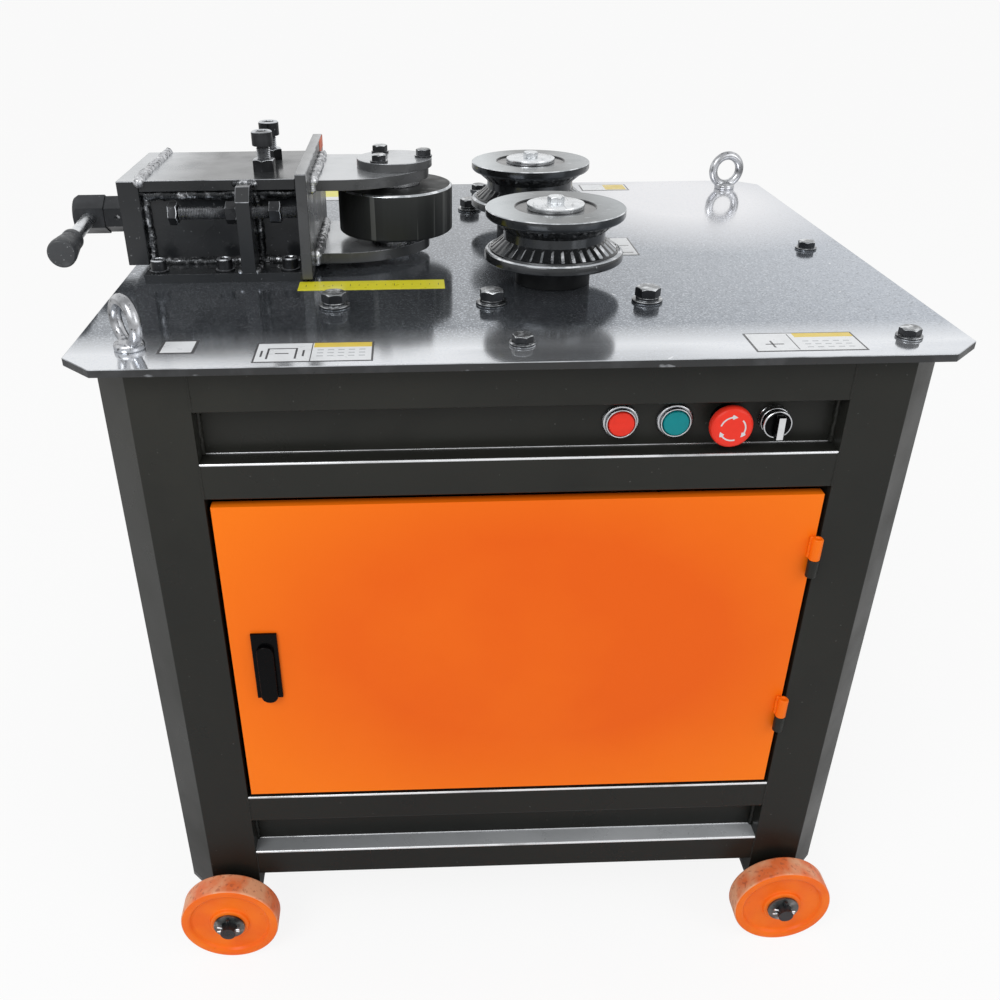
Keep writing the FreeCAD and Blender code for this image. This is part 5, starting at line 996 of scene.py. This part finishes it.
for name, low, high in (
    ("number_plate", (-352, -347), (-316, -311)),
    ("front_plate", (-258, -374), (-144, -323)),
    ("right_plate", (220, -370), (328, -320)),
    ("rear_plate", (159, 325), (232, 366)),
    ("roller_plate", (150, -35), (176, 47)),
    ("press_plate", (-262, 284), (-190, 350)),
):
    dressed(tile(f"{name}_edge", low, high, 0.2), plate_ink, "frame", "table_paint")
    border = 3 if name == "number_plate" else 2
    inner_low = (low[0] + border, low[1] + border)
    inner_high = (high[0] - border, high[1] - border)
    dressed(tile(name, inner_low, inner_high, 0.32), plate_white, "frame", "table_paint")
for name, low, high, film in (
    ("front_plate_header", (-202, -337), (-146, -325), plate_header),
    ("press_plate_header", (-260, 307), (-192, 348), rule_yellow),
    ("right_plate_header", (268, -333), (326, -322), plate_header),
    ("rear_plate_header", (196, 329), (228, 362), plate_header),
):
    dressed(tile(name, low, high, 0.4), film, "frame", "table_paint")
strokes = [
    tile("stroke", (left, near), (right, far), 0.42)
    for left, near, right, far in (
        (-204, -372, -203, -325), (-246, -366, -244, -338), (-246, -340, -218, -338), (
            -219, -366, -217, -338,
        ),
        (-238, -353, -225, -351), (-252, -360, -250, -344), (-212, -360, -210, -344), (262, -366, 263, -324),
        (234, -352, 252, -350), (240, -360, 242, -342), (156, -24, 170, -22), (156, 8, 170, 10), (
            156, -24, 158, 10,
        ),
    )
]
dressed(joined("plate_strokes", strokes), plate_ink, "frame", "table_paint")
rows = []
for low_x, high_x in ((-198, -148), (272, 322)):
    for line in range(3):
        y = -344 - 8 * line
        for cell in range(5):
            x = low_x + (high_x - low_x) / 5 * cell
            rows.append(tile("row", (x, y - 1), (x + 6, y + 1), 0.4))
dressed(joined("plate_rows", rows), plate_grey, "frame", "table_paint")

# Controls. Two flush buttons in double chromed rings, a mushroom head on a dark collar and a
# selector with a pale lever, all in a row at the right of the button panel.
bezel_metal = finish("bezel_metal", (0.6, 0.61, 0.63), metallic=1.0, roughness=0.2)
mottled(bezel_metal, (0.36, 0.37, 0.39), 0.45, 0.75, 0.6, 90, 4)
sheen(bezel_metal, 0.14, 0.32, 160, 4)
pebbled(bezel_metal, 0.00004, 0.4, 500, 2)


def moulded(name, colour, low_rough, high_rough, coat, shine=0.22):
    plastic = finish(name, colour, roughness=low_rough, coat=coat, shine=shine)
    mottled(plastic, tuple(part * 0.7 for part in colour), 0.45, 0.8, 0.3, 120, 4)
    sheen(plastic, low_rough, high_rough, 200, 4)
    pebbled(plastic, 0.00004, 0.35, 700, 2)
    return plastic


red_plastic = moulded("red_plastic", (0.8, 0.035, 0.018), 0.3, 0.42, 0.0)
green_plastic = moulded("green_plastic", (0.002, 0.23, 0.25), 0.3, 0.42, 0.0)
black_plastic = moulded("black_plastic", (0.002, 0.002, 0.0024), 0.16, 0.3, 0.0, shine=0.07)
pale_plastic = moulded("pale_plastic", (0.62, 0.63, 0.64), 0.3, 0.45, 0.2)
stop_x, start_x, emergency_x, selector_x = 101.6, 157.0, 210, 257.5
panel_face = -340.0
control_height = -82.5


def on_panel(x, ahead=0.0):
    """A place on the button panel's row of controls, so far in front of its face."""
    return place(x, panel_face - ahead, control_height)



bezels = []
for x in (stop_x, start_x):
    outline = [
        (8.3, -16), (11, -16), (11, 0), (19, 0), (19, 2.4), (17.8, 4.2), (16.6, 4.8), (16.4, 3.6),
        (15.9, 3.6), (15.9, 7.6), (15.3, 8.6), (14.3, 8.6), (13.3, 7.4), (13.3, 0.7), (8.3, 0.7), (8.3, -16),
    ]
    bezels.append(spun("button_ring", outline, on_panel(x), "-Y", steps=64, soft=0.25))
dressed(joined("button_rings", bezels), bezel_metal, "frame", "bezel_metal", "control_bezels")
spot = on_panel(emergency_x)
mushroom_collar = spun(
    "mushroom_collar", [(8.3, -16), (11, -16), (11, 0), (17, 0), (17, 4.6), (15.4, 6), (8.3, 6), (8.3, -16)],
    spot, "-Y", soft=0.4,
)
dressed(mushroom_collar, black_plastic, "frame", "black_plastic")
spot = on_panel(selector_x)
ring_outline = [
    (8.3, -16), (11, -16), (11, 0), (15.25, 0), (15.25, 1.6), (14.4, 2.2), (14.4, 3.2), (15.25, 3.8),
    (15.25, 9.2), (14.6, 10), (13.4, 10), (13.2, 9.4), (8.3, 9.4), (8.3, -16),
]
selector_ring = spun("selector_ring", ring_outline, spot, "-Y", steps=64, soft=0.3)
dressed(selector_ring, bezel_metal, "frame", "bezel_metal")

for name, x, plastic, slot in (
    ("stop_button", stop_x, red_plastic, "red_plastic"),
    ("start_button", start_x, green_plastic, "green_plastic"),
):
    outline = [(0, -11), (8, -11), (8, 5), (12.4, 5), (13, 5.6), (13, 9.6), (12.2, 10.4), (0, 10.2)]
    dressed(spun(f"{name}_cap", outline, on_panel(x), "-Y", steps=64, soft=0.4), plastic, name, slot, name)

# Mushroom head. A domed red cap on a stem, with three raised white arrows that show which way it
# turns to let go.
spot = on_panel(emergency_x)
dome = [
    (0, -9), (8, -9), (8, 12), (18.7, 12), (21, 13.2), (21.75, 15.6), (21.75, 19.8), (21, 22.4), (18.6, 24.2),
    (13, 24.9), (6, 25), (0, 25),
]
dressed(
    spun("mushroom_head", dome, spot, "-Y", steps=72, soft=0.8), red_plastic, "emergency_button",
    "red_plastic", "emergency_button",
)


def arc_arrow(name, start, end, radius, width, depth):
    """A curved arrow lying on a round face: a bent bar with a wedge at its far end."""
    let_go()
    bpy.ops.mesh.primitive_grid_add(x_subdivisions=17, y_subdivisions=2, size=1)
    arrow = bpy.context.object
    arrow.name = name
    for corner in arrow.data.vertices:
        share = corner.co.x + 0.5
        half = width / 2
        if share > 0.74:
            half = width * 1.9 * (1 - share) / 0.26
        elif share > 0.7:
            half = width * 0.5
        angle = math.radians(start + (end - start) * share)
        reach = radius + 2 * corner.co.y * half
        corner.co = Vector((math.sin(angle) * reach * MM, 0, math.cos(angle) * reach * MM))
    pick(arrow)
    bpy.ops.object.mode_set(mode="EDIT")
    bpy.ops.mesh.select_all(action="SELECT")
    bpy.ops.mesh.extrude_region_move(TRANSFORM_OT_translate={"value": (0, -depth * MM, 0)})
    bpy.ops.mesh.select_all(action="SELECT")
    bpy.ops.mesh.remove_doubles(threshold=0.000001)
    bpy.ops.mesh.normals_make_consistent(inside=False)
    bpy.ops.object.mode_set(mode="OBJECT")
    return arrow


arrows = []
for start in (-75, 45, 165):
    arrow = arc_arrow("release_arrow", start, start + 92, 12.6, 1.5, 0.5)
    set_down(arrow, on_panel(emergency_x, 24.55))
    arrows.append(arrow)
dressed(joined("release_arrows", arrows), pale_plastic, "emergency_button", "red_plastic")

# Selector. A black head with a raised lever, capped by a pale pointer that stands upright at rest.
spot = on_panel(selector_x)
head = spun(
    "selector_head",
    [(0, -15), (8, -15), (8, 10.3), (12.4, 10.3), (13, 10.9), (13, 17.4), (12.2, 18.3), (0, 18.3)], spot,
    "-Y", steps=64, soft=0.4,
)
lever = block("selector_lever", on_panel(selector_x, 23.3), (0.0084, 0.01, 0.0244), 1.2, 3)
dressed(joined("selector_body", [head, lever]), black_plastic, "selector", "black_plastic", "selector_knob")
rim = spun(
    "selector_rim",
    [(13.1, 14.6), (14.5, 14.6), (14.9, 15.2), (14.9, 17.4), (14.2, 18.2), (13.1, 18.2), (13.1, 14.6)], spot,
    "-Y", steps=64, soft=0.2,
)
dressed(rim, bezel_metal, "selector", "black_plastic")
pointer = block("selector_pointer", on_panel(selector_x, 28.2), (0.0066, 0.0006, 0.0236), 0.25)
dressed(pointer, pale_plastic, "selector", "black_plastic")

# Switch blocks. A moulded switch housing behind each control, inside the cabinet.
dressed(
    from_cad("switch_blocks", "moulded_switch_blocks", 1.2), black_plastic, "frame", "black_plastic",
    "switch_blocks",
)

# Door. Folded orange sheet with turned-in edges, hung on two lift-off hinges at its right and held
# by a black latch at its left. Powder coated, with a soft orange-peel surface.
orange_paint = finish("orange_paint", (0.92, 0.185, 0.004), roughness=0.4, shine=0.15)
# Painted shade: the door is darker round its middle.
painted_door_shade = levels(orange_paint, around(orange_paint, (30, -360, -345), 520, (1, 1, 1.5)), 0.2, 0.6)
tinted(orange_paint, painted_door_shade, (0.81, 0.115, 0.003))
mottled(orange_paint, (0.93, 0.18, 0.006), 0.45, 0.7, 0.35, 4, 4)
sheen(orange_paint, 0.32, 0.48, 11, 5)
pebbled(orange_paint, 0.0001, 0.45, 380, 2)
dressed(from_cad("door_panel", "folded_door", 1.1, 3), orange_paint, "door", "orange_paint", "door_panel")

hinge_x, hinge_y = 317.5, -370.3
door_side, post_side = hinge_x - 5, hinge_x + 5.6
upper_halves = []
lower_halves = []
for joint in (-235.5, -454.8):
    sleeve = [(3.45, 0), (5.4, 0), (6, 0.6), (6, 24.8), (5, 26), (3, 26), (2.4, 24.8), (0, 24.8)]
    upper_halves.append(spun("hinge_sleeve", sleeve, place(hinge_x, hinge_y, joint), steps=40, soft=0.3))
    upper_halves.append(weld("hinge_bead", (door_side, -365.8, joint + 2), (door_side, -365.8, joint + 24), 2.2))
    stud = [(0, -22), (5, -22), (6, -21), (6, -0.9), (5.4, -0.3), (3.2, -0.3), (3.2, 23), (0, 23)]
    lower_halves.append(spun("hinge_stud", stud, place(hinge_x, hinge_y, joint), steps=40, soft=0.3))
    lower_halves.append(weld("post_bead", (post_side, -366.2, joint - 20), (post_side, -366.2, joint - 3), 2.2))
dressed(
    joined("door_hinge_sleeves", upper_halves), orange_paint, "door", "orange_paint", "door_hinge_knuckles",
)
dressed(
    joined("post_hinge_studs", lower_halves), cabinet_paint, "frame", "cabinet_paint", "frame_hinge_knuckles",
)

# Latch. A black moulded plate with a chamfered rim, and a round-ended swing handle whose shaft goes
# through the door to a tongue behind it.
dressed(
    from_cad("latch_plate", "latch_escutcheon", 1.3), black_plastic, "door", "black_plastic", "latch_plate",
)
low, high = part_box("latch_handle")
let_go()
bpy.ops.mesh.primitive_cube_add(size=1)
lever = bpy.context.object
lever_low = Vector((place(-288.5, 0, 0).x, low.y, low.z))
lever_high = Vector((place(-269.5, 0, 0).x, low.y + 5 * MM, high.z))
lever.location = (lever_low + lever_high) / 2
lever.scale = lever_high - lever_low
bpy.ops.object.transform_apply(location=True, rotation=True, scale=True)
bpy.ops.object.mode_set(mode="EDIT")
choose(lever, "EDGE", lambda edge, middle: abs(edge.verts[0].co.y - edge.verts[1].co.y) > 0.002)
bpy.ops.mesh.bevel(offset=9.3 * MM, offset_type="OFFSET", segments=12, affect="EDGES")
bpy.ops.object.mode_set(mode="OBJECT")
eased(lever, 1.4, 3)
handle_half_width = 9.5
pivot_z = high.z / MM - TABLE_MIDDLE.z - handle_half_width
shaft = spun(
    "latch_shaft", [(0, -0.5), (6, -0.5), (6, 23.5), (0, 23.5)], place(-279, -367.3, pivot_z), "Y", soft=0.4,
)
tongue = block("latch_tongue", place(-293.5, -348.7, pivot_z), (0.045, 0.004, 0.016), 0.8, 2)
dressed(
    joined("latch_swing_handle", [lever, shaft, tongue]), black_plastic, "latch", "black_plastic",
    "latch_handle",
)

# Wheels. Turned discs with a dished face and a raised hub, painted orange. The treads are scuffed
# pale and marked dark where the machine has been rolled about.
orange_wheel = finish("orange_wheel", (0.86, 0.14, 0.006), roughness=0.36, shine=0.2)
mottled(orange_wheel, (0.92, 0.19, 0.008), 0.4, 0.65, 0.9, 20, 5)
mottled(orange_wheel, (0.4, 0.08, 0.015), 0.68, 0.74, 0.35, 75, 6)
sheen(orange_wheel, 0.26, 0.46, 45, 5)
pebbled(orange_wheel, 0.00015, 0.5, 260, 3)

scuffed_tread = finish("scuffed_tread", (0.8, 0.17, 0.045), roughness=0.5)
mottled(scuffed_tread, (0.82, 0.4, 0.22), 0.38, 0.58, 0.9, 32, 5)
mottled(scuffed_tread, (0.42, 0.1, 0.045), 0.56, 0.66, 0.6, 170, 6)
sheen(scuffed_tread, 0.36, 0.62, 70, 5)
pebbled(scuffed_tread, 0.0006, 0.6, 120, 5)

wheel_outline = [
    (9.55, 0), (60, 0), (61.6, 0.6), (62.5, 2.4), (62.5, 27.4), (61.8, 29.3), (60, 30), (53.5, 30), (
        51.5, 29,
    ),
    (49.6, 26), (48, 25), (27, 25), (25.4, 25.8), (24.6, 28.8), (23.4, 30), (9.55, 30), (9.55, 0),
]
axle_height = -757.5
for end, sign in (("front", -1), ("rear", 1)):
    for side, across in (("left", -361), ("right", 361)):
        spot = place(across, sign * 372, axle_height)
        wheel = spun(
            f"wheel_disc_{end}_{side}", wheel_outline, spot, "Y" if sign > 0 else "-Y", steps=96, soft=0.5,
        )
        node = f"wheel_{end}_{side}"
        dressed(wheel, orange_wheel, node, "orange_wheel", node)
        hub = Vector((spot.x, spot.z))
        finish_faces(
            wheel, scuffed_tread, lambda face: (Vector((face.center.x, face.center.z)) - hub).length > 0.0612,
        )

# Axles. Foot plates, ears and stub axles welded up in each corner, with a zinc washer and a split
# pin outside each wheel.
dressed(from_cad("wheel_axles", "axle_brackets", 0.7), dark_steel, "frame", "dark_steel", "wheel_axles")
dull_zinc = finish("dull_zinc", (0.13, 0.14, 0.14), metallic=0.9, roughness=0.34)
mottled(dull_zinc, (0.36, 0.375, 0.375), 0.52, 0.7, 1, 120, 5)
mottled(dull_zinc, (0.025, 0.026, 0.026), 0.52, 0.66, 0.9, 50, 3)
sheen(dull_zinc, 0.24, 0.5, 90, 4)
pebbled(dull_zinc, 0.0002, 0.6, 260, 3)
dressed(from_cad("wheel_washers", "axle_washers", 0.4), dull_zinc, "frame", "zinc_steel", "wheel_washers")
pins = []
for sign in (-1, 1):
    for across in (-361, 361):
        y = sign * 409.4
        for leg in (-1, 1):
            outline = [(0, -15), (1.3, -15), (1.3, 14), (0, 14)]
            pin = spun("split_pin_leg", outline, steps=12, soft=0.3)
            set_down(pin, place(across, y, axle_height + leg), (0, math.radians(96 + 12 * leg), 0))
            pins.append(pin)
dressed(joined("split_pin_legs", pins), zinc_steel, "frame", "zinc_steel")

# Drive under the table. A thick bearing plate, two flanged housings, the gears in mesh, the worm
# gearbox on its pillars and the motor at its side, seen through the open door.
gear_steel = finish("gear_steel", (0.3, 0.31, 0.33), metallic=1.0, roughness=0.3)
mottled(gear_steel, (0.1, 0.095, 0.08), 0.45, 0.72, 0.85, 45, 5)
sheen(gear_steel, 0.18, 0.42, 90, 4)
pebbled(gear_steel, 0.00008, 0.4, 400, 2)

bronze = finish("bronze", (0.45, 0.27, 0.1), metallic=1.0, roughness=0.3)
mottled(bronze, (0.24, 0.14, 0.06), 0.45, 0.75, 0.6, 60, 4)
sheen(bronze, 0.2, 0.4, 110, 4)
pebbled(bronze, 0.00006, 0.4, 500, 2)

cast_housing = finish("cast_housing", (0.06, 0.1, 0.13), roughness=0.42, coat=0.1)
mottled(cast_housing, (0.09, 0.14, 0.18), 0.4, 0.75, 0.6, 14, 5)
mottled(cast_housing, (0.02, 0.025, 0.03), 0.68, 0.74, 0.6, 160, 3)
sheen(cast_housing, 0.34, 0.56, 60, 5)
pebbled(cast_housing, 0.0005, 0.7, 220, 4)

# Painted shade: the bearing housings are made near black, for the shadow under the rollers.
shaded_housing = finish("shaded_housing", (0.007, 0.0075, 0.008), roughness=0.45, shine=0.12)
mottled(shaded_housing, (0.02, 0.021, 0.022), 0.45, 0.72, 0.7, 40, 5)
sheen(shaded_housing, 0.36, 0.6, 70, 4)
pebbled(shaded_housing, 0.0002, 0.5, 300, 3)

box_grey = finish("box_grey", (0.5, 0.51, 0.49), roughness=0.45)
mottled(box_grey, (0.4, 0.41, 0.4), 0.45, 0.8, 0.3, 20, 5)
sheen(box_grey, 0.4, 0.55, 50, 4)
pebbled(box_grey, 0.0002, 0.6, 450, 2)

for node, radius, material, body, slot in (
    ("bearing_plate", 1.0, dark_steel, "frame", "dark_steel"),
    ("bearing_housings", 0.8, shaded_housing, "frame", "dark_steel"),
    ("gearbox", 1.5, cast_housing, "frame", "cast_housing"),
    ("control_box", 1.5, box_grey, "frame", "box_grey"),
    ("cable_gland", 0.4, black_plastic, "frame", "black_plastic"),
    ("screw_nut", 0.5, bronze, "ram", "bronze"),
    ("lead_screw", 0.5, bright_steel, "screw", "bright_steel"),
    ("drive_gear_front", 0.3, gear_steel, "front_roller", "gear_steel"),
    ("drive_gear_rear", 0.3, gear_steel, "rear_roller", "gear_steel"),
    ("drive_pinion", 0.3, gear_steel, "pinion", "gear_steel"),
):
    dressed(from_cad(node, f"{node}_finished", radius), material, body, slot, node)

# Motor. A cast case with cooling fins along its sides, a flange at the gearbox and a fan cover at
# the far end.
case = spun(
    "motor_case",
    [
        (0, 0), (68, 0), (68, 12), (57, 12), (57, 232), (64, 232), (65, 234), (65, 278), (61, 282), (20, 282),
        (18, 280), (0, 280),
    ],
    (0, 0, 0),
    soft=0.8,
)
fins = [case]
for index in range(32):
    let_go()
    bpy.ops.mesh.primitive_cube_add(size=1, scale=(0.0064, 0.0022, 0.2))
    fin = bpy.context.object
    fin.name = "motor_fin"
    angle = 2 * math.pi * index / 32
    set_down(fin, (0.0588 * math.cos(angle), 0.0588 * math.sin(angle), 0.122), (0, 0, angle))
    fins.append(fin)
motor = joined("finned_motor", fins)
set_down(motor, place(-45, 80, -265), (0, -math.pi / 2, 0))
bpy.ops.object.shade_smooth_by_angle(angle=math.radians(35))
dressed(motor, cast_housing, "frame", "cast_housing", "drive_motor")

# Photograph's view, pale floor and soft light. The camera stands 1.27 m in front of the table and
# a little above it, looking down 31 degrees.
let_go()
bpy.ops.mesh.primitive_plane_add(size=80, location=(0, 0, 0))
floor = bpy.context.object
floor.name = "studio_floor"
floor_paint = finish("floor_paint", (0.9, 0.9, 0.9), roughness=0.9, shine=0.1)
nodes = floor_paint.node_tree.nodes
links = floor_paint.node_tree.links
white = nodes.new("ShaderNodeEmission")
white.inputs["Strength"].default_value = 1.0
view_ray = nodes.new("ShaderNodeLightPath").outputs["Is Camera Ray"]
backdrop = nodes.new("ShaderNodeMixShader")
links.new(computed(floor_paint, "ShaderNodeMath", "MULTIPLY", view_ray, 0.88)[0], backdrop.inputs[0])
links.new(nodes["Principled BSDF"].outputs[0], backdrop.inputs[1])
links.new(white.outputs[0], backdrop.inputs[2])
links.new(backdrop.outputs[0], nodes["Material Output"].inputs["Surface"])
floor.data.materials.append(floor_paint)

pitch, yaw, roll = math.radians(-30.86), math.radians(1.6235), math.radians(-0.472)
ahead = Vector((math.sin(yaw) * math.cos(pitch), math.cos(yaw) * math.cos(pitch), math.sin(pitch)))
level_right = Vector((math.cos(yaw), -math.sin(yaw), 0))
level_up = level_right.cross(ahead)
right = level_right * math.cos(roll) + level_up * math.sin(roll)
up = level_up * math.cos(roll) - level_right * math.sin(roll)
bpy.ops.object.camera_add(location=place(-105.2, -1265.1, 344.6))
camera = bpy.context.object
camera.rotation_euler = Matrix((right, up, -ahead)).transposed().to_euler()
picture_side, focal_length, sensor_width = 1000, 1004.12, 36
camera.data.lens = focal_length * sensor_width / picture_side
camera.data.sensor_width = sensor_width
camera.data.shift_x = (picture_side / 2 - 442.79) / picture_side
camera.data.shift_y = (531.44 - picture_side / 2) / picture_side
camera.data.clip_end = 50
bpy.context.scene.camera = camera


def lamp(name, location, target, size, power):
    """A soft square lamp aimed at a point."""
    bpy.ops.object.light_add(type="AREA", location=location)
    light = bpy.context.object
    light.name = name
    light.data.size = size
    light.data.energy = power
    light.rotation_euler = (Vector(target) - Vector(location)).to_track_quat("-Z", "Y").to_euler()


lamp("key_lamp", (-1.6, -2.4, 3.0), (0, 0, 0.5), 1.8, 52)
lamp("fill_lamp", (2.4, -2.0, 2.2), (0, 0, 0.5), 2.0, 22)

world = bpy.data.worlds.new("pale_room")
bpy.context.scene.world = world
world.use_nodes = True
nodes = world.node_tree.nodes
links = world.node_tree.links
nodes.clear()
rays = nodes.new("ShaderNodeLightPath").outputs
seen = computed(world, "ShaderNodeMath", "MAXIMUM", rays["Is Camera Ray"], rays["Is Glossy Ray"])[0]
seen = computed(world, "ShaderNodeMath", "MAXIMUM", seen, rays["Is Transmission Ray"])[0]
choice = nodes.new("ShaderNodeMixShader")
links.new(seen, choice.inputs[0])
for index, strength in ((1, 0.62), (2, 1.0)):
    glow = nodes.new("ShaderNodeBackground")
    glow.inputs["Color"].default_value = (1, 1, 1, 1)
    glow.inputs["Strength"].default_value = strength
    links.new(glow.outputs[0], choice.inputs[index])
links.new(choice.outputs[0], nodes.new("ShaderNodeOutputWorld").inputs["Surface"])

bpy.context.scene.view_settings.view_transform = "Standard"
